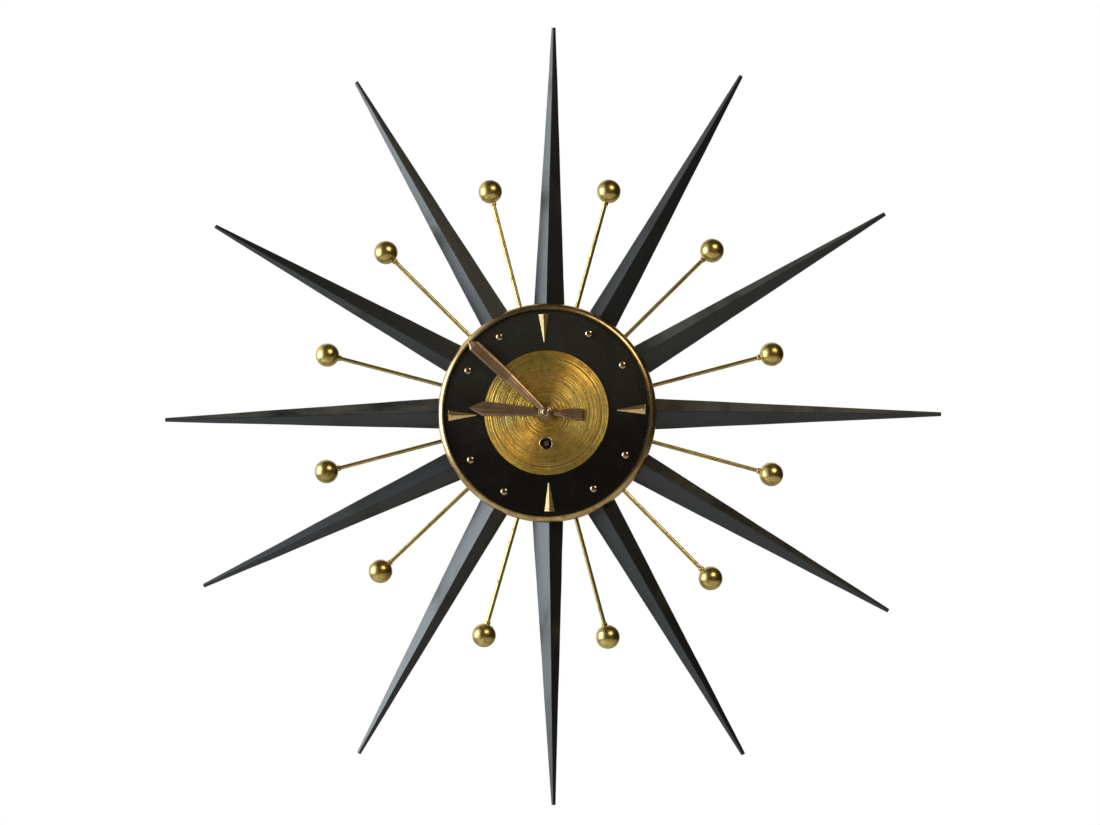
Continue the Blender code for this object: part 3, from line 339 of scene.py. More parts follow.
# Movement. An eight-day spring movement between two rolled brass plates: stamped brass
# wheels and barrel, blued springs, and turned steel arbors, pinions, click and lever.

PINION_RADII = {
    "intermediate_wheel": 3.9 * MM, "centre_wheel": 3.0 * MM, "third_wheel": 2.4 * MM,
    "fourth_wheel": 2.4 * MM, "minute_wheel": 2.6 * MM, "hour_wheel": 1.5 * MM,
    "balance_wheel": 2.7 * MM,
}


def movement_brass(name, centre=(0.0, 0.0), pinion=0.0):
    """Rolled brass with a fine grain, going to steel inside the radius of a pinion."""
    metal = Finish(name, {"Metallic": 1.0})
    spots = metal.rise(metal.clouds(2.2 * MM, 6.0, 0.7), 0.55, 0.75)
    colour = metal.mix(metal.clouds(12 * MM), (0.60, 0.43, 0.17), (0.74, 0.55, 0.25))
    colour = metal.mix(spots * 0.6, colour, (0.24, 0.15, 0.07))
    if pinion:
        offset = metal.node("ShaderNodeVectorMath", {"operation": "SUBTRACT"}, {
            0: metal.place, 1: (centre[0], 0.0, centre[1])})
        offset = metal.node("ShaderNodeVectorMath", {"operation": "MULTIPLY"}, {0: offset, 1: (1, 0, 1)})
        radius = metal.node("ShaderNodeVectorMath", {"operation": "LENGTH"}, {0: offset}, "Value")
        beyond = metal.rise(radius, pinion, pinion + 0.1 * MM)
        colour = metal.mix(beyond, (0.42, 0.43, 0.45), colour)
    metal.give("Base Color", colour)
    metal.give("Roughness", 0.3 + spots * 0.2)
    metal.relief(metal.clouds(0.3 * MM, 4.0, stretch=(12, 1, 1)), 0.02 * MM)
    return metal


def movement_steel(name, tint, roughness):
    """Polished tool steel, tinted where it has been blued."""
    metal = Finish(name, {"Metallic": 1.0})
    worn = metal.clouds(4 * MM, 6.0, 0.65)
    metal.give("Base Color", metal.mix(worn, tint, tuple(0.6 * value for value in tint)))
    metal.give("Roughness", roughness + worn * 0.15)
    metal.relief(metal.clouds(0.15 * MM, 3.0, stretch=(1, 1, 9)), 0.006 * MM)
    return metal


def dress(finish, slot, *nodes):
    """Gives CAD nodes that stay in view their finish."""
    for node in nodes:
        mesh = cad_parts[node].data
        mesh.materials.clear()
        mesh.materials.append(finish.material)


bare_steel = movement_steel("bright_steel", (0.52, 0.53, 0.55), 0.2)
dress(movement_brass("plate_brass"), "brass", "front_plate", "back_plate", "barrel", "barrel_cap")
dress(bare_steel, "steel", "ratchet_wheel", "click", "pallet_lever", "escape_wheel", "cannon_pinion")
dress(movement_steel("blued_steel", (0.10, 0.13, 0.26), 0.22), "steel", "mainspring", "hairspring")
for node, pinion in PINION_RADII.items():
    low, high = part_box(node)
    axis = ((low.x + high.x) / 2, (low.z + high.z) / 2)
    dress(movement_brass(f"{node}_brass", axis, pinion), "brass", node)

# Hub. A cast ring on a flat plate, painted black. The spikes lie on the plate against
# the ring and are screwed from behind; the ball rods push into holes in the ring.

HUB_PLATE = 2.0 * MM
HUB_RING_WALL = 5.0 * MM
HUB_HOLE = 38.0 * MM
HUB_RING_INSET = 17.0 * MM
ROD_LEVEL = 7.0 * MM
ROD_RADIUS = 1.6 * MM
ROD_CLEAR = 0.15 * MM
HOUR_TURN = 30
ROD_SETTING = {5: -0.5, 6: 0.6, 7: 1.3, 9: -0.5, 10: -0.6}
SPIKE_SCREW_INSET = 5.6 * MM
SPIKE_SCREW_HEAD = 2.4 * MM
SPIKE_SCREW_HEIGHT = 1.1 * MM
SPIKE_SCREW_SLOT = 0.6 * MM
SPIKE_SCREW_TURN = 47


def hub_paint():
    """Black paint on a sand-cast alloy, thin on the raised grains."""
    paint = Finish("hub_paint", {"Specular IOR Level": 0.5})
    grain = paint.clouds(1.3 * MM, 6.0, 0.65)
    thin = paint.rise(paint.clouds(6 * MM, 8.0, 0.8), 0.66, 0.72)
    dust = paint.rise(paint.clouds(16 * MM, 5.0), 0.45, 0.8)
    coat = paint.mix(dust * 0.3, (0.014, 0.014, 0.014), (0.11, 0.10, 0.085))
    paint.give("Base Color", paint.mix(thin, coat, (0.30, 0.30, 0.29)))
    paint.give("Metallic", thin * 0.8)
    paint.give("Roughness", 0.42 + grain * 0.2)
    paint.relief(grain, 0.16 * MM)
    return paint


def rod_turn(number):
    """Angle of a rod clockwise from upright, midway between two spikes but for its setting."""
    return HOUR_TURN * (number + 0.5) + ROD_SETTING.get(number, 0.0)


hub_rear, hub_front = depths("hub")
hub_radius = reach("hub")
hub_face = hub_rear + HUB_PLATE
ring_outer = hub_radius - HUB_RING_INSET
ring_inner = ring_outer - HUB_RING_WALL
hub_outline = [
    (ring_inner, hub_front, 0.5 * MM), (ring_outer, hub_front, 0.8 * MM), (ring_outer, hub_face, 0),
    (hub_radius, hub_face, 0.6 * MM), (hub_radius, hub_rear, 0.6 * MM), (HUB_HOLE, hub_rear, 0.4 * MM),
    (HUB_HOLE, hub_face, 0.4 * MM), (ring_inner, hub_face, 0.8 * MM),
]


def rod_drill(number):
    """Cutter for one rod's hole through the ring."""
    drill_radius = ROD_RADIUS + ROD_CLEAR
    drill_length = 3 * HUB_RING_WALL
    drill = turn([(0.0, 0.0, 0), (drill_radius, 0.0, 0), (drill_radius, drill_length, 0),
                  (0.0, drill_length, 0)], 20)
    place = (Matrix.Translation((0.0, -(hub_face + ROD_LEVEL), 0.0))
             @ Matrix.Rotation(math.radians(rod_turn(number)), 4, "Y")
             @ Matrix.Translation((0.0, 0.0, ring_inner - HUB_RING_WALL))
             @ Matrix.Rotation(math.radians(-90), 4, "X"))
    bmesh.ops.transform(drill, matrix=place, verts=drill.verts)
    return drill


fit("cast_hub", turn(hub_outline), hub_paint(), ["hub"],
    cutters=[rod_drill(number) for number in range(12)])
for hour in range(1, 13):
    centre = around(hub_radius - SPIKE_SCREW_INSET, HOUR_TURN * hour)
    head_rear = hub_rear - SPIKE_SCREW_HEIGHT
    head = turn([(0.0, head_rear, 0), (SPIKE_SCREW_HEAD, head_rear, 0.5 * MM),
                 (SPIKE_SCREW_HEAD, hub_rear, 0.1 * MM), (0.0, hub_rear, 0)], 32, centre)
    groove = bar_cutter(centre, SPIKE_SCREW_TURN * hour, SCREW_SLOT_HALF, head_rear - CUT_MARGIN,
                        head_rear + SPIKE_SCREW_SLOT)
    fit(f"spike_screw_{hour:02d}", head, screw_finish, cutters=[groove])

# Spikes. Twelve long wooden spikes with a flat back and a ridge, planed by hand so that
# no two lean or ridge quite alike, then sprayed with satin black lacquer.

SPIKE_ROOT_WIDTH = 26.6 * MM
SPIKE_ROOT_HEIGHT = 13.0 * MM
SPIKE_EDGE = 2.2 * MM
SPIKE_TIP = 3.2 * MM
SPIKE_TIP_EDGE = 1.9 * MM
SPIKE_BUTT_INSET = 16.0 * MM
SPIKE_SEAT_INSET = 5.0 * MM
SPIKE_ROUND = 0.45 * MM
SPIKE_GRAIN_STEP = 0.07
SPIKE_STATIONS = 22
SPIKE_WOBBLE = 0.22 * MM
DRIFTS_PER_METRE = 26
RIPPLES_PER_METRE = 90
SPIKE_SEED = 7
SPIKE_SETTING = {
    1: (-0.8, -2.0), 2: (-1.2, -2.9), 3: (-0.2, -2.1), 4: (-0.3, -3.2),
    5: (-0.3, -1.2), 6: (-1.6, -2.2), 7: (-1.6, -1.8), 8: (4.2, -1.4),
    9: (-1.6, 0.3), 10: (-1.3, -3.1), 11: (-0.7, -1.3), 12: (0.5, -1.5),
}


def sweep(sections):
    """Bar through sections with the same corners."""
    bar = bmesh.new()
    face = bar.faces.new([bar.verts.new(corner) for corner in sections[0]])
    for start, end in zip(sections, sections[1:]):
        swept = bmesh.ops.extrude_face_region(bar, geom=[face], use_keep_orig=start is sections[0])
        face = next(item for item in swept["geom"] if isinstance(item, bmesh.types.BMFace))
        for vert in face.verts:
            nearest = min(range(len(start)), key=lambda corner: (start[corner] - vert.co).length)
            vert.co = end[nearest]
    return bar


def map_lengthwise(bar, shift):
    """UV map in metres, across the bar and along it, moved on so that no two bars match."""
    layer = bar.loops.layers.uv.new("grain")
    for face in bar.faces:
        for loop in face.loops:
            loop[layer].uv = (loop.vert.co.x + loop.vert.co.y + shift, loop.vert.co.z + 3 * shift)


def along_grain(finish):
    """The lengthwise map of a bar as a pattern's coordinates."""
    return finish.node("ShaderNodeUVMap", {"uv_map": "grain"})


def black_lacquer():
    """Satin black lacquer over planed wood: faint grain, rubbed edges and a film of dust."""
    lacquer = Finish("black_lacquer", {"Specular IOR Level": 0.5, "Coat Roughness": 0.28})
    grain_map = along_grain(lacquer)
    grain = lacquer.clouds(0.9 * MM, 5.0, 0.6, stretch=(1, 40, 1), place=grain_map)
    wave = lacquer.clouds(9 * MM, 3.0, stretch=(1, 5, 1), place=grain_map)
    dust = lacquer.rise(lacquer.clouds(17 * MM, 6.0, 0.68, (1, 2.4, 1), grain_map), 0.52, 0.78)
    rub = lacquer.rise(lacquer.clouds(5 * MM, 7.0, 0.75, (1, 4, 1), grain_map), 0.68, 0.75)
    colour = lacquer.mix(wave, (0.0028, 0.0040, 0.0048), (0.0060, 0.0080, 0.0090))
    colour = lacquer.mix(dust * 0.12, colour, (0.060, 0.058, 0.044))
    facing = lacquer.node("ShaderNodeNewGeometry", output="Normal")
    upward = lacquer.rise(lacquer.node("ShaderNodeSeparateXYZ", {}, {0: facing}, "Z"), 0.5, 0.75)
    settled = upward * lacquer.rise(lacquer.clouds(14 * MM, 6.0, 0.7, (1, 3, 1), grain_map), 0.3, 0.7)
    colour = lacquer.mix(settled * 0.5, colour, (0.19, 0.165, 0.12))
    lacquer.give("Base Color", lacquer.mix(rub * 0.5, colour, (0.075, 0.052, 0.034)))
    lacquer.give("Roughness", 0.34 + grain * 0.12 + dust * 0.14 + settled * 0.2)
    lacquer.give("Coat Weight", 0.2 - dust * 0.16)
    lacquer.relief(grain * 0.6 + wave * 0.4, 0.07 * MM)
    return lacquer


def spike_section(distance, length, ridge):
    """Five corners of a spike's section: back, sides and ridge."""
    share = distance / length
    half = (SPIKE_ROOT_WIDTH + share * (SPIKE_TIP - SPIKE_ROOT_WIDTH)) / 2
    height = SPIKE_ROOT_HEIGHT + share * (SPIKE_TIP - SPIKE_ROOT_HEIGHT)
    edge = SPIKE_EDGE + share * (SPIKE_TIP_EDGE - SPIKE_EDGE)
    peak = ridge * (1 - share)
    corners = [(-half, 0.0), (half, 0.0), (half, edge), (peak, height), (-half, edge)]
    return [Vector((x, -y, distance)) for x, y in corners]


def runs_along(edge, length):
    """True for an edge that runs most of the way along a bar."""
    return abs(edge.verts[0].co.z - edge.verts[1].co.z) > length / 2


def make_spike(hour, lean, ridge, length, seat_depth):
    """Spike with soft edges and a slight waviness, leaning as set on its seat at the hub."""
    spike = sweep([spike_section(0.0, length, ridge), spike_section(length, length, ridge)])
    above_sides = 1.05 * SPIKE_TIP_EDGE
    crest = [edge for edge in spike.edges
             if runs_along(edge, length)
             and all(-vert.co.y > above_sides and abs(vert.co.x) < SPIKE_TIP for vert in edge.verts)]
    bmesh.ops.bevel(spike, geom=crest, offset=SPIKE_ROUND, segments=3, profile=0.5, affect="EDGES",
                    material=-1)
    long_edges = [edge for edge in spike.edges
                  if runs_along(edge, length) and edge.calc_face_angle(0.0) > math.radians(25)]
    bmesh.ops.bevel(spike, geom=long_edges, offset=SPIKE_ROUND, segments=2, profile=0.5, affect="EDGES",
                    material=-1)
    for station in range(1, SPIKE_STATIONS):
        bmesh.ops.bisect_plane(spike, geom=spike.verts[:] + spike.edges[:] + spike.faces[:],
                               plane_co=(0, 0, length * station / SPIKE_STATIONS), plane_no=(0, 0, 1))
    map_lengthwise(spike, SPIKE_GRAIN_STEP * hour)
    for vert in spike.verts:
        along = Vector((0.3 * hour, 7.0 * hour, DRIFTS_PER_METRE * vert.co.z))
        drift = noise.noise_vector(along) * SPIKE_WOBBLE
        nearby = vert.co * RIPPLES_PER_METRE + Vector((hour, 0, 0))
        ripple = noise.noise_vector(nearby) * SPIKE_WOBBLE * 0.5
        vert.co.x += drift.x + ripple.x
        if vert.co.y < 0:
            vert.co.y += drift.y + ripple.y
    seat = around(hub_radius - SPIKE_SEAT_INSET, HOUR_TURN * hour)
    place = (Matrix.Translation((seat[0], -seat_depth, seat[1]))
             @ Matrix.Rotation(math.radians(HOUR_TURN * hour + lean), 4, "Y")
             @ Matrix.Translation((0.0, 0.0, SPIKE_SEAT_INSET - SPIKE_BUTT_INSET)))
    bmesh.ops.transform(spike, matrix=place, verts=spike.verts)
    return spike


noise.seed_set(SPIKE_SEED)
lacquer_finish = black_lacquer()
spike_back, _ = depths("spike_12")
tip_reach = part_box("spike_12")[1].z
spike_length = tip_reach - hub_radius + SPIKE_BUTT_INSET
for hour, (lean, ridge) in SPIKE_SETTING.items():
    shape = make_spike(hour, lean, ridge * MM, spike_length, spike_back)
    fit(f"lacquered_spike_{hour:02d}", shape, lacquer_finish, [f"spike_{hour:02d}"],
        crease=24)

# Ball rods. Twelve brass rods, each with a spun brass ball brazed on its end behind a
# small turned collar. The brass is polished and has gone brown in spots.

BALL_RADIUS = 9.5 * MM
BALL_STEPS = 22
COLLAR_RADIUS = 2.3 * MM
COLLAR_LENGTH = 2.2 * MM
COLLAR_SHOULDER = 0.3 * MM
ROD_INSIDE = 2.0 * MM


def aged_brass(name, light, dark, spot_size, spot_share, roughness):
    """Polished brass with brown spots, hairlines and a thin uneven tarnish."""
    brass = Finish(name, {"Metallic": 1.0})
    tarnish = brass.clouds(22 * MM, 5.0, 0.6)
    spots = brass.rise(brass.clouds(spot_size, 7.0, 0.72), 1 - spot_share, 1.14 - spot_share)
    pits = brass.specks(1.6 * MM, 0.42)
    colour = brass.mix(brass.rise(tarnish, 0.3, 0.7), light, dark)
    colour = brass.mix(spots * 0.75, colour, (0.20, 0.115, 0.045))
    brass.give("Base Color", brass.mix(pits * 0.7, colour, (0.07, 0.045, 0.02)))
    brass.give("Roughness", roughness + spots * 0.16 + tarnish * 0.08 + pits * 0.2)
    hairlines = brass.clouds(0.35 * MM, 4.0, 0.6, (1, 1, 7))
    brass.relief(hairlines * 0.5 + spots * -0.3 + pits * -0.4, 0.02 * MM)
    return brass


def ball_rod_outline(ball_middle, inner_end):
    """Outline of the ball, its collar and the rod, from the outer pole to the inner end."""
    neck = math.asin(COLLAR_RADIUS / BALL_RADIUS)
    outline = []
    for step in range(BALL_STEPS + 1):
        angle = (math.pi - neck) * step / BALL_STEPS
        outline.append((BALL_RADIUS * math.sin(angle), ball_middle + BALL_RADIUS * math.cos(angle), 0))
    collar_end = ball_middle - BALL_RADIUS * math.cos(neck) - COLLAR_LENGTH
    outline += [(COLLAR_RADIUS, collar_end, 0.5 * MM), (ROD_RADIUS, collar_end - COLLAR_SHOULDER, 0),
                (ROD_RADIUS, inner_end, 0.3 * MM), (0.0, inner_end, 0)]
    return outline


rod_finish = aged_brass("rod_brass", (0.66, 0.50, 0.17), (0.43, 0.31, 0.09), 5 * MM, 0.50, 0.24)
rod_depth = hub_face + ROD_LEVEL
for number in range(12):
    low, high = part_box(f"ball_rod_{number:02d}")
    out_x, out_z = around(1.0, rod_turn(number))
    far_x = (high.x if out_x > 0 else low.x) - math.copysign(BALL_RADIUS, out_x)
    far_z = (high.z if out_z > 0 else low.z) - math.copysign(BALL_RADIUS, out_z)
    ball_middle = math.hypot(far_x, far_z)
    shape = turn(ball_rod_outline(ball_middle, ring_inner - ROD_INSIDE), 40)
    place = (Matrix.Translation((0.0, -rod_depth, 0.0))
             @ Matrix.Rotation(math.radians(rod_turn(number)), 4, "Y")
             @ Matrix.Rotation(math.radians(-90), 4, "X"))
    bmesh.ops.transform(shape, matrix=place, verts=shape.verts)
    fit(f"brass_ball_rod_{number:02d}", shape, rod_finish, [f"ball_rod_{number:02d}"])

# Dial pan. A shallow steel pan, its edge rolled back, stove-enamelled glossy black. It
# stands on the hub ring, and its face falls a little towards the rim.

PAN_WALL = 0.8 * MM
PAN_ROLL = 4.7 * MM
PAN_FLAT = 58.0 * MM
PAN_FALL = 0.4 * MM
PAN_STEPS = 12
PAN_SHOULDER = 0.9 * MM
PAN_SHOULDER_DROP = 0.5 * MM
PAN_SHOULDER_INSIDE = 2.2 * MM
DIAL_HOLE = 4.2 * MM
GROMMET_CLEAR = 5.2 * MM


def black_enamel():
    """Deep glossy black with painted light, lighter towards the top and the left, and a thin haze that is
    denser there, with a few specks of dust.
    """
    enamel = Finish("black_enamel", {"Coat Weight": 0.6, "Coat Roughness": 0.06})
    upright = enamel.node("ShaderNodeSeparateXYZ", {}, {0: enamel.place}, "Z")
    across = enamel.node("ShaderNodeSeparateXYZ", {}, {0: enamel.place}, "X")
    drift = (enamel.clouds(45 * MM, 4.0) - 0.5) * (150 * MM)
    # Painted light: this rise lifts the black towards the top and the left, where it stands in for light
    # falling on the enamel; it also makes the enamel rougher there.
    painted_light_and_haze = enamel.rise(upright - across * 0.3 + drift, -60 * MM, 70 * MM)
    dust = enamel.specks(0.9 * MM, 0.30)
    haze = enamel.rise(enamel.clouds(12 * MM, 7.0, 0.7), 0.5, 0.8)
    # Painted light: near black below, a dim warm grey where the painted-light rise is high.
    colour = enamel.mix(painted_light_and_haze, (0.0008, 0.0009, 0.0009), (0.0165, 0.0160, 0.0122))
    colour = enamel.mix(haze * 0.12, colour, (0.05, 0.046, 0.036))
    enamel.give("Base Color", enamel.mix(dust * 0.4, colour, (0.16, 0.15, 0.13)))
    enamel.give("Roughness", 0.16 + painted_light_and_haze * 0.10 + haze * 0.12 + dust * 0.2)
    enamel.relief(enamel.clouds(7 * MM, 2.0), 0.03 * MM)
    return enamel


pan_rear, pan_front = depths("dial_pan")
pan_radius = reach("dial_pan")
winding_low, winding_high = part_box("winding_grommet")
winding_place = ((winding_low.x + winding_high.x) / 2, (winding_low.z + winding_high.z) / 2)
pan_rim = pan_front - PAN_FALL
pan_inside = pan_radius - PAN_WALL
pan_outline = [(DIAL_HOLE, pan_front, 0.2 * MM)]
for step in range(PAN_STEPS + 1):
    share = step / PAN_STEPS
    pan_outline.append((PAN_FLAT + share * (pan_radius - PAN_ROLL - PAN_FLAT),
                        pan_front - PAN_FALL * share ** 3, 0))
pan_outline += [
    (pan_radius - PAN_SHOULDER, pan_rim - PAN_SHOULDER_DROP, 1.6 * MM), (pan_radius, pan_rear, 0.3 * MM),
    (pan_inside, pan_rear, 0.3 * MM), (pan_inside - PAN_SHOULDER, pan_rim - PAN_SHOULDER_INSIDE, 1.2 * MM),
    (pan_radius - PAN_ROLL, pan_rim - PAN_WALL, 0), (PAN_FLAT, pan_front - PAN_WALL, 0),
    (DIAL_HOLE, pan_front - PAN_WALL, 0.2 * MM),
]


def grommet_drill(rear, front):
    """Cutter for the winding hole."""
    return turn([(0.0, rear, 0), (GROMMET_CLEAR, rear, 0), (GROMMET_CLEAR, front, 0), (0.0, front, 0)],
                64, winding_place)


enamel_finish = black_enamel()
fit("enamelled_pan", turn(pan_outline), enamel_finish, ["dial_pan"],
    cutters=[grommet_drill(pan_front - PAN_WALL - CUT_MARGIN, pan_front + CUT_MARGIN)])

# Bezel. A ring of rolled brass with a quarter-round front, hooked over the rim of the pan
# and polished along its length. It has gone brown in patches.

BEZEL_LIP = 1.8 * MM
BEZEL_LIP_DROP = 2.4 * MM
BEZEL_CREST_INSET = 0.7 * MM
BEZEL_ROLL = 5.6 * MM
BEZEL_STEPS = 16
BEZEL_HOOK = 1.6 * MM
BEZEL_CLEAR = 0.2 * MM

bezel_rear, bezel_front = depths("bezel")
bezel_radius = reach("bezel")
lip_radius = pan_radius - BEZEL_LIP
hook_radius = pan_radius + BEZEL_CLEAR
crest_radius = lip_radius + BEZEL_CREST_INSET
bezel_side = bezel_radius - crest_radius
bezel_outline = [(lip_radius, bezel_front - BEZEL_LIP_DROP, 0.4 * MM)]
for step in range(BEZEL_STEPS + 1):
    angle = math.pi / 2 * step / BEZEL_STEPS
    bezel_outline.append((crest_radius + bezel_side * math.sin(angle),
                          bezel_front - BEZEL_ROLL * (1 - math.cos(angle)), 0))
bezel_outline += [(bezel_radius, bezel_rear, 0.5 * MM), (hook_radius, bezel_rear, 0.3 * MM),
                  (hook_radius, pan_front - BEZEL_HOOK, 0)]
bezel_finish = aged_brass("bezel_brass", (0.60, 0.44, 0.20), (0.34, 0.22, 0.09), 9 * MM, 0.46, 0.22)
fit("rolled_bezel", turn(bezel_outline, 2 * ROUND_STEPS), bezel_finish, ["bezel"])

# Hour markers. Four brass wedges with a ridge down the middle, the broad end outwards,
# each held on the dial by a small round-headed pin through that end.

DIAL_TURN = -2.2
MARKER_INSET = 5.0 * MM
MARKER_LENGTH = 22.4 * MM
MARKER_WIDTH = 8.0 * MM
MARKER_HEIGHT = 1.7 * MM
MARKER_EDGE = 0.35 * MM
MARKER_TIP = 0.9 * MM
MARKER_TIP_HEIGHT = 0.6 * MM
MARKER_TIP_EDGE = 0.3 * MM
MARKER_ROUND = 0.12 * MM
PIN_INSET = 2.2 * MM
PIN_RADIUS = 1.0 * MM
PIN_SUNK = 0.5 * MM
PIN_PROUD = 0.6 * MM
DOME_STEPS = 6
DOME_WALL = 0.25


def wedge_section(half, height, edge, distance):
    """Five corners of a marker's section, its back deep enough for the fall of the pan."""
    corners = [(-half, -PAN_FALL), (half, -PAN_FALL), (half, edge), (0.0, height), (-half, edge)]
    return [Vector((x, -y, distance)) for x, y in corners]


def dome(radius, rear, front, centre, steps=24):
    """Round-headed stud with a short upright wall, sunk a little into the surface."""
    sunk = rear - PAN_FALL / 2
    outline = [(0.0, sunk, 0), (radius, sunk, 0)]
    for step in range(DOME_STEPS):
        angle = math.pi / 2 * step / DOME_STEPS
        share = DOME_WALL + (1 - DOME_WALL) * math.sin(angle)
        outline.append((radius * math.cos(angle), rear + (front - rear) * share, 0))
    return turn(outline + [(0.0, front, 0)], steps, centre)


marker_finish = aged_brass("marker_brass", (0.86, 0.66, 0.34), (0.66, 0.46, 0.20), 4 * MM, 0.36, 0.2)
pin_finish = aged_brass("pin_brass", (0.56, 0.42, 0.22), (0.34, 0.23, 0.10), 1.5 * MM, 0.5, 0.2)
marker_radius = pan_radius - MARKER_INSET
for hour in (12, 3, 6, 9):
    node = f"hour_marker_{hour:02d}"
    marker_back, _ = depths(node)
    degrees = HOUR_TURN * hour + DIAL_TURN
    marker = sweep([wedge_section(MARKER_WIDTH / 2, MARKER_HEIGHT, MARKER_EDGE, 0.0),
                    wedge_section(MARKER_TIP / 2, MARKER_TIP_HEIGHT, MARKER_TIP_EDGE, MARKER_LENGTH)])
    bmesh.ops.bevel(marker, geom=[edge for edge in marker.edges if edge.calc_face_angle(0.0) > 0.2],
                    offset=MARKER_ROUND, segments=2, profile=0.5, affect="EDGES", material=-1)
    start = around(marker_radius, degrees)
    place = (Matrix.Translation((start[0], -marker_back, start[1]))
             @ Matrix.Rotation(math.radians(degrees + 180), 4, "Y"))
    bmesh.ops.transform(marker, matrix=place, verts=marker.verts)
    fit(f"wedge_marker_{hour:02d}", marker, marker_finish, [node], crease=20)
    ridge_there = marker_back + MARKER_HEIGHT
    pin = dome(PIN_RADIUS, ridge_there - PIN_SUNK, ridge_there + PIN_PROUD,
               around(marker_radius - PIN_INSET, degrees))
    fit(f"marker_pin_{hour:02d}", pin, pin_finish)

# Hour dots. Eight domed brass studs pressed into the enamel between the wedges; their
# legs are bent over behind the pan.

DOT_INSET = 12.2 * MM
DOT_RADIUS = 2.9 * MM
DOT_RISE = 1.7 * MM

dot_finish = aged_brass("dot_brass", (0.52, 0.40, 0.24), (0.36, 0.26, 0.14), 2 * MM, 0.45, 0.13)
for hour in (1, 2, 4, 5, 7, 8, 10, 11):
    spot = around(pan_radius - DOT_INSET, HOUR_TURN * hour + DIAL_TURN)
    stud = dome(DOT_RADIUS, pan_front, pan_front + DOT_RISE, spot, 48)
    fit(f"hour_dot_{hour:02d}", stud, dot_finish)

# Centre disc. Spun brass sheet, brushed in rings on the lathe so that it shines in two
# fans. The lacquer has failed in patches and the brass beneath has gone brown.

RING_PITCH = 0.08 * MM
RING_SLOPE = 1.05


def ring_brushed_brass():
    """Brass whose fine rings spread the light outwards and inwards but not round."""
    brass = Finish("ring_brushed_brass", {"Metallic": 1.0})
    on_face = brass.node("ShaderNodeVectorMath", {"operation": "MULTIPLY"}, {0: brass.place, 1: (1, 0, 1)})
    radius = brass.node("ShaderNodeVectorMath", {"operation": "LENGTH"}, {0: on_face}, "Value")
    outward = brass.node("ShaderNodeVectorMath", {"operation": "NORMALIZE"}, {0: on_face})
    across = brass.node("ShaderNodeSeparateXYZ", {}, {0: outward}, "X")
    up = brass.node("ShaderNodeSeparateXYZ", {}, {0: outward}, "Z")
    track = brass.node("ShaderNodeCombineXYZ", {}, {0: radius, 1: across * MM, 2: up * MM})
    ring = brass.node("ShaderNodeMath", {"operation": "FLOOR"}, {0: radius * (1 / RING_PITCH)})
    fine = brass.node("ShaderNodeTexWhiteNoise", {"noise_dimensions": "1D"}, {"W": ring})
    coarse = brass.clouds(0.6 * MM, 3.0, 0.6, (1, 5, 5), track)
    mottle = brass.rise(brass.clouds(5 * MM, 5.0, 0.6), 0.38, 0.68)
    patches = brass.clouds(15 * MM, 6.0, 0.62)
    brown = brass.rise(patches, 0.46, 0.66)
    green = brass.rise(brass.clouds(24 * MM, 3.0), 0.42, 0.62)
    colour = brass.mix(green, (0.58, 0.345, 0.06), (0.47, 0.33, 0.07))
    colour = brass.mix(brown * 0.6, colour, (0.31, 0.16, 0.04))
    colour = brass.mix(mottle * 0.45, colour, (0.24, 0.15, 0.04))
    flecks = brass.specks(1.1 * MM, 0.44)
    scuffs = brass.rise(brass.clouds(0.7 * MM, 3.0, 0.6, (8, 1, 1)), 0.58, 0.70)
    scuffs = scuffs + brass.rise(brass.clouds(0.6 * MM, 3.0, 0.6, (1, 1, 10)), 0.60, 0.72)
    colour = brass.mix(scuffs * 0.35, colour, (0.86, 0.66, 0.30))
    brass.give("Base Color", brass.mix(flecks * 0.6, colour, (0.88, 0.72, 0.40)))
    brass.give("Roughness", 0.31 + brown * 0.09)
    slope = (fine + coarse * 0.12 - 0.56) * RING_SLOPE
    lean = brass.node("ShaderNodeVectorMath", {"operation": "SCALE"}, {0: outward, "Scale": slope})
    true_normal = brass.node("ShaderNodeNewGeometry", output="Normal")
    tilted = brass.node("ShaderNodeVectorMath", {"operation": "ADD"}, {0: true_normal, 1: lean})
    brass.give("Normal", brass.node("ShaderNodeVectorMath", {"operation": "NORMALIZE"}, {0: tilted}))
    return brass


disc_rear, disc_front = depths("centre_disc")
disc_radius = reach("centre_disc")
disc_outline = [(DIAL_HOLE, disc_front, 0.15 * MM), (disc_radius, disc_front, 0.35 * MM),
                (disc_radius, disc_rear, 0.1 * MM), (DIAL_HOLE, disc_rear, 0.1 * MM)]
fit("brushed_disc", turn(disc_outline, 2 * ROUND_STEPS), ring_brushed_brass(), ["centre_disc"],
    cutters=[grommet_drill(disc_rear - CUT_MARGIN, disc_front + CUT_MARGIN)])

# Winding hole. A flanged brass eyelet closed over the edge of the hole; the square end
# of the steel winding arbor stands inside it, ready for a key.

EYELET_BORE = 4.5 * MM
EYELET_WALL = 0.4 * MM
EYELET_LIP_ROUND = 0.28 * MM
EYELET_GAP = 0.05 * MM

eyelet_rear, eyelet_front = depths("winding_grommet")
eyelet_radius = (winding_high.x - winding_low.x) / 2
eyelet_outside = EYELET_BORE + EYELET_WALL
under_lip = disc_front + EYELET_GAP
eyelet_outline = [
    (EYELET_BORE, eyelet_front, EYELET_LIP_ROUND), (eyelet_radius, eyelet_front, EYELET_LIP_ROUND),
    (eyelet_radius, under_lip, 0.05 * MM), (eyelet_outside, under_lip, 0),
    (eyelet_outside, eyelet_rear, 0.1 * MM), (EYELET_BORE, eyelet_rear, 0.1 * MM),
]
fit("winding_eyelet", turn(eyelet_outline, 64, winding_place), marker_finish, ["winding_grommet"])
dress(movement_steel("arbor_steel", (0.34, 0.27, 0.20), 0.3), "steel", "winding_arbor")

# Hour hand. Stamped copper-bronze with raised beads along it and a flared tail, riveted
# to a boss that grips the hour pipe.

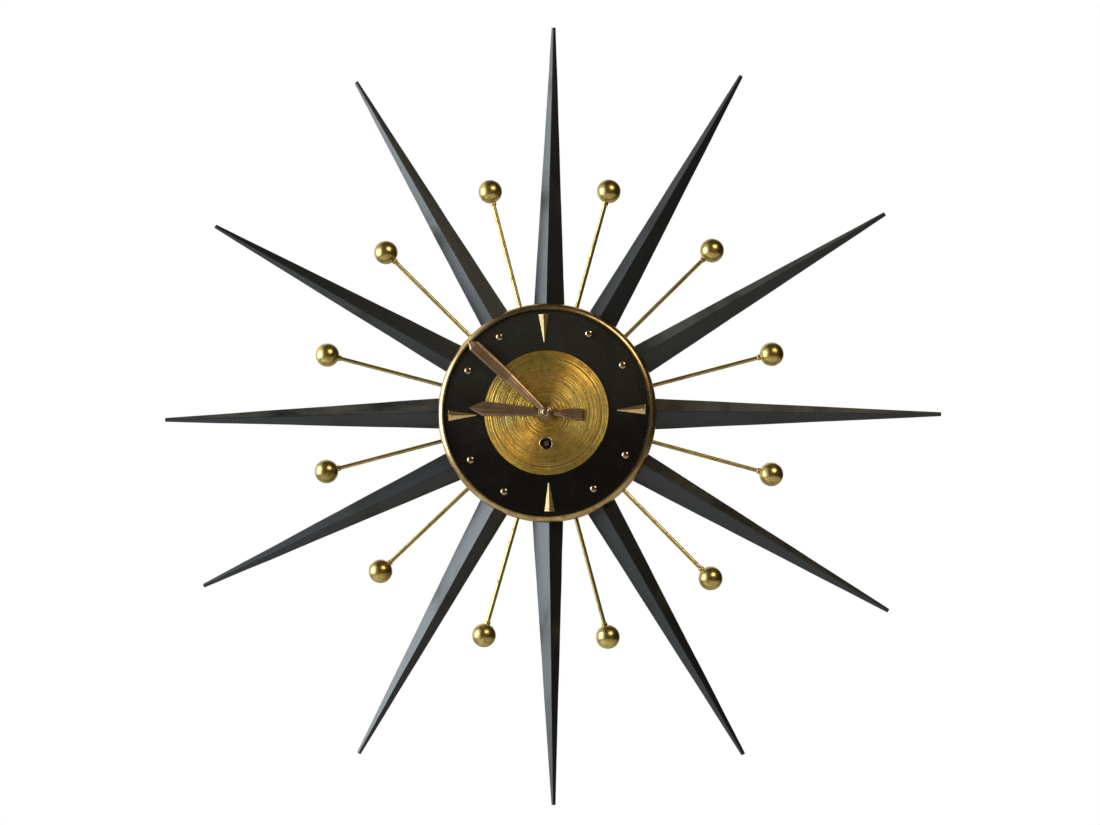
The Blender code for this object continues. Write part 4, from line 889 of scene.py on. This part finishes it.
HOUR_HAND_TURN = 273.2
HOUR_HAND_WIDTHS = (6.0 * MM, 11.8 * MM)
HOUR_HAND_LENGTH = 61.4 * MM
HOUR_HAND_POINT = 11.0 * MM
HOUR_HAND_START = 3.72 * MM
HOUR_TAIL = ((3.7, 3.6), (11.0, 4.1), (15.4, 7.8), (28.5, 9.6))
HOUR_BOSS = 6.2 * MM
HOUR_BORE = 2.9 * MM
HAND_TIP = 0.6 * MM
BLADE_THICKNESS = 0.8 * MM
BLADE_PROFILE = (
    (-1.0, 0.0), (1.0, 0.0), (1.0, 0.30), (0.62, 0.90), (0.34, 0.66), (0.0, 1.0), (-0.34, 0.66),
    (-0.62, 0.90), (-1.0, 0.30),
)
BOSS_SUNK = 0.1 * MM
BOSS_CHAMFER = 0.35 * MM
BOSS_FACE_SHARE = 0.72


def hand_copper(name):
    """Copper-bronze drawn lengthwise, browned unevenly, brighter where it is rubbed."""
    copper = Finish(name, {"Metallic": 1.0})
    grain_map = along_grain(copper)
    streaks = copper.clouds(0.5 * MM, 5.0, 0.65, (1, 30, 1), grain_map)
    stain = copper.clouds(7 * MM, 5.0, 0.6, (1, 2, 1), grain_map)
    colour = copper.mix(copper.rise(stain, 0.35, 0.65), (0.33, 0.20, 0.12), (0.20, 0.125, 0.07))
    copper.give("Base Color", copper.mix(streaks * 0.3, colour, (0.42, 0.28, 0.17)))
    copper.give("Roughness", 0.30 + stain * 0.14)
    copper.relief(streaks, 0.03 * MM)
    return copper


def blade_section(half, distance, rear):
    """Section of a hand with thin edges, a ridge down the middle and a raised bead on either side."""
    return [Vector((share * half, -(rear + height * BLADE_THICKNESS), distance))
            for share, height in BLADE_PROFILE]


def blade(stations, rear, degrees, shift):
    """Hand or tail through (distance, width) stations, turned to where it points."""
    shape = sweep([blade_section(width / 2, distance, rear) for distance, width in stations])
    map_lengthwise(shape, shift)
    turning = Matrix.Rotation(math.radians(degrees), 4, "Y")
    bmesh.ops.transform(shape, matrix=turning, verts=shape.verts)
    return shape


def boss(radius, bore, rear, front):
    """Turned boss of a hand, chamfered to a smaller face, its foot just behind the blade."""
    foot = rear - BOSS_SUNK
    outline = [(bore, foot, 0), (radius, foot, 0.1 * MM), (radius, front - BOSS_CHAMFER, 0.2 * MM),
               (BOSS_FACE_SHARE * radius, front, 0.25 * MM), (bore, front, 0.15 * MM)]
    return turn(outline, 64)


copper_finish = hand_copper("hand_copper")
hour_rear, hour_front = depths("hour_hand")
hour_shoulder = HOUR_HAND_LENGTH - HOUR_HAND_POINT
hour_stations = [(HOUR_HAND_START, HOUR_HAND_WIDTHS[0]), (hour_shoulder, HOUR_HAND_WIDTHS[1]),
                 (HOUR_HAND_LENGTH, HAND_TIP)]
hour_blade = blade(hour_stations, hour_rear, HOUR_HAND_TURN, 0.1)
fit("hour_hand_blade", hour_blade, copper_finish, ["hour_hand"], "hour_works", crease=18)
hour_tail = blade([(distance * MM, width * MM) for distance, width in HOUR_TAIL], hour_rear,
                  HOUR_HAND_TURN + 180, 0.2)
fit("hour_hand_tail", hour_tail, copper_finish, ["hour_hand"], "hour_works", crease=18)
boss_finish = aged_brass("boss_brass", (0.46, 0.31, 0.16), (0.32, 0.21, 0.10), 3 * MM, 0.4, 0.24)
fit("hour_hand_boss", boss(HOUR_BOSS, HOUR_BORE, hour_rear, hour_front), boss_finish,
    ["hour_hand"], "hour_works")

# Minute hand. The same stamping, longer and slimmer, squared onto the cannon pinion and
# held by a slotted brass nut on the end of the centre arbor.

MINUTE_HAND_TURN = 312.3
MINUTE_HAND = ((2.8, 3.2), (40.0, 7.9), (49.0, 8.8), (60.0, 9.2), (78.0, 9.3), (83.0, 2.4))
MINUTE_BOSS = 4.6 * MM
MINUTE_BORE = 1.9 * MM
NUT_BORE = 1.15 * MM
NUT_CROWN = 0.9 * MM
NUT_SLOT_DEPTH = 1.0 * MM
NUT_SLOT_HALF = 0.45 * MM
NUT_SLOT_TURN = 25

minute_rear, minute_front = depths("minute_hand")
minute_blade = blade([(distance * MM, width * MM) for distance, width in MINUTE_HAND], minute_rear,
                     MINUTE_HAND_TURN, 0.4)
fit("minute_hand_blade", minute_blade, copper_finish, ["minute_hand"], "minute_works",
    crease=18)
fit("minute_hand_boss", boss(MINUTE_BOSS, MINUTE_BORE, minute_rear, minute_front), boss_finish,
    ["minute_hand"], "minute_works")
nut_rear, nut_front = depths("hand_nut")
nut_radius = reach("hand_nut")
nut = turn([(NUT_BORE, nut_rear, 0), (nut_radius, nut_rear, 0.2 * MM), (nut_radius, nut_front, NUT_CROWN),
            (NUT_BORE, nut_front, 0.1 * MM)], 48)
nut_slot = bar_cutter((0.0, 0.0), NUT_SLOT_TURN, NUT_SLOT_HALF, nut_front - NUT_SLOT_DEPTH,
                      nut_front + CUT_MARGIN)
nut_finish = aged_brass("nut_brass", (0.86, 0.68, 0.42), (0.72, 0.54, 0.30), 2 * MM, 0.3, 0.16)
fit("slotted_nut", nut, nut_finish, ["hand_nut"], "minute_works", cutters=[nut_slot])

# Studio. A pale floor well below the clock, in a room that is white behind the clock and
# on its left and dim elsewhere. A wide cool window is on the left, a warm lamp upper right.

FLOOR_DROP = 0.75
FLOOR_RADIUS = 3.0
CAMERA_DISTANCE = 1.8
CAMERA_YAW = 4.34
CAMERA_PITCH = -2.46
CAMERA_ROLL = 0.44
CAMERA_LENS = 74.4
CAMERA_SHIFT = 0.0032

floor_shape = bmesh.new()
bmesh.ops.create_circle(floor_shape, cap_ends=True, radius=FLOOR_RADIUS, segments=96)
bmesh.ops.translate(floor_shape, vec=(0.0, 0.0, cad_box[0].z - FLOOR_DROP), verts=floor_shape.verts)
floor = solid("studio_floor", floor_shape)
floor_finish = Finish("floor_paint", {"Specular IOR Level": 0.2})
floor_tone = floor_finish.mix(floor_finish.clouds(0.3), (0.80, 0.79, 0.77), (0.84, 0.83, 0.82))
floor_finish.give("Base Color", floor_tone)
floor_finish.give("Roughness", 0.75 + floor_finish.clouds(0.05) * 0.1)
floor.data.materials.append(floor_finish.material)

scene = bpy.context.scene
scene.view_settings.view_transform = "Standard"
scene.world = bpy.data.worlds.new("studio_air")
scene.world.use_nodes = True
air = Wiring(scene.world.node_tree)
toward = air.node("ShaderNodeTexCoord", output="Generated")
deep = air.node("ShaderNodeSeparateXYZ", {}, {0: toward}, "Y")
high_up = air.node("ShaderNodeSeparateXYZ", {}, {0: toward}, "Z")
sideways = air.node("ShaderNodeSeparateXYZ", {}, {0: toward}, "X")
room = air.mix(air.rise(high_up, -0.6, 0.7), (0.10, 0.08, 0.055), (0.065, 0.06, 0.045))
room = air.mix(air.rise(sideways, 0.3, 0.9), room, (0.02, 0.018, 0.014))
room = air.mix(air.rise(0 - sideways, 0.42, 0.8), room, (1.1, 1.2, 1.3))
lit_wall = air.rise(deep - sideways * 0.6, 0.3, 0.9)
surround = air.mix(lit_wall, room, (1.0, 0.98, 0.95))
seen_directly = air.node("ShaderNodeLightPath", output="Is Camera Ray")
background = scene.world.node_tree.nodes["Background"]
scene.world.node_tree.links.new(air.mix(seen_directly, surround, (1.0, 1.0, 1.0)).socket,
                                background.inputs["Color"])


def panel(name, place, size, power, colour):
    """Soft rectangular light that faces the dial."""
    light = bpy.data.lights.new(name, "AREA")
    light.shape = "RECTANGLE"
    light.size, light.size_y = size
    light.energy = power
    light.color = colour
    lamp = bpy.data.objects.new(name, light)
    lamp.location = place
    lamp.rotation_mode = "QUATERNION"
    lamp.rotation_quaternion = (-Vector(place)).to_track_quat("-Z", "Y")
    lamp.visible_camera = False
    scene.collection.objects.link(lamp)


panel("window", (-1.5, -0.48, 0.15), (1.1, 1.2), 33.0, (0.80, 0.92, 1.0))
panel("warm_lamp", (1.19, -1.67, 1.42), (1.2, 1.0), 22.0, (1.0, 0.86, 0.66))

camera = bpy.data.objects.new("camera", bpy.data.cameras.new("camera"))
yaw = math.radians(CAMERA_YAW)
pitch = math.radians(CAMERA_PITCH)
aim = Vector((0.0, -disc_front, 0.0))
back = Vector((math.sin(yaw) * math.cos(pitch), -math.cos(yaw) * math.cos(pitch), math.sin(pitch)))
camera.location = aim + CAMERA_DISTANCE * back
camera.rotation_mode = "QUATERNION"
level = (-back).to_track_quat("-Z", "Y")
camera.rotation_quaternion = level @ Matrix.Rotation(math.radians(CAMERA_ROLL), 3, "Z").to_quaternion()
camera.data.lens = CAMERA_LENS
camera.data.shift_x = CAMERA_SHIFT
scene.collection.objects.link(camera)
scene.camera = camera
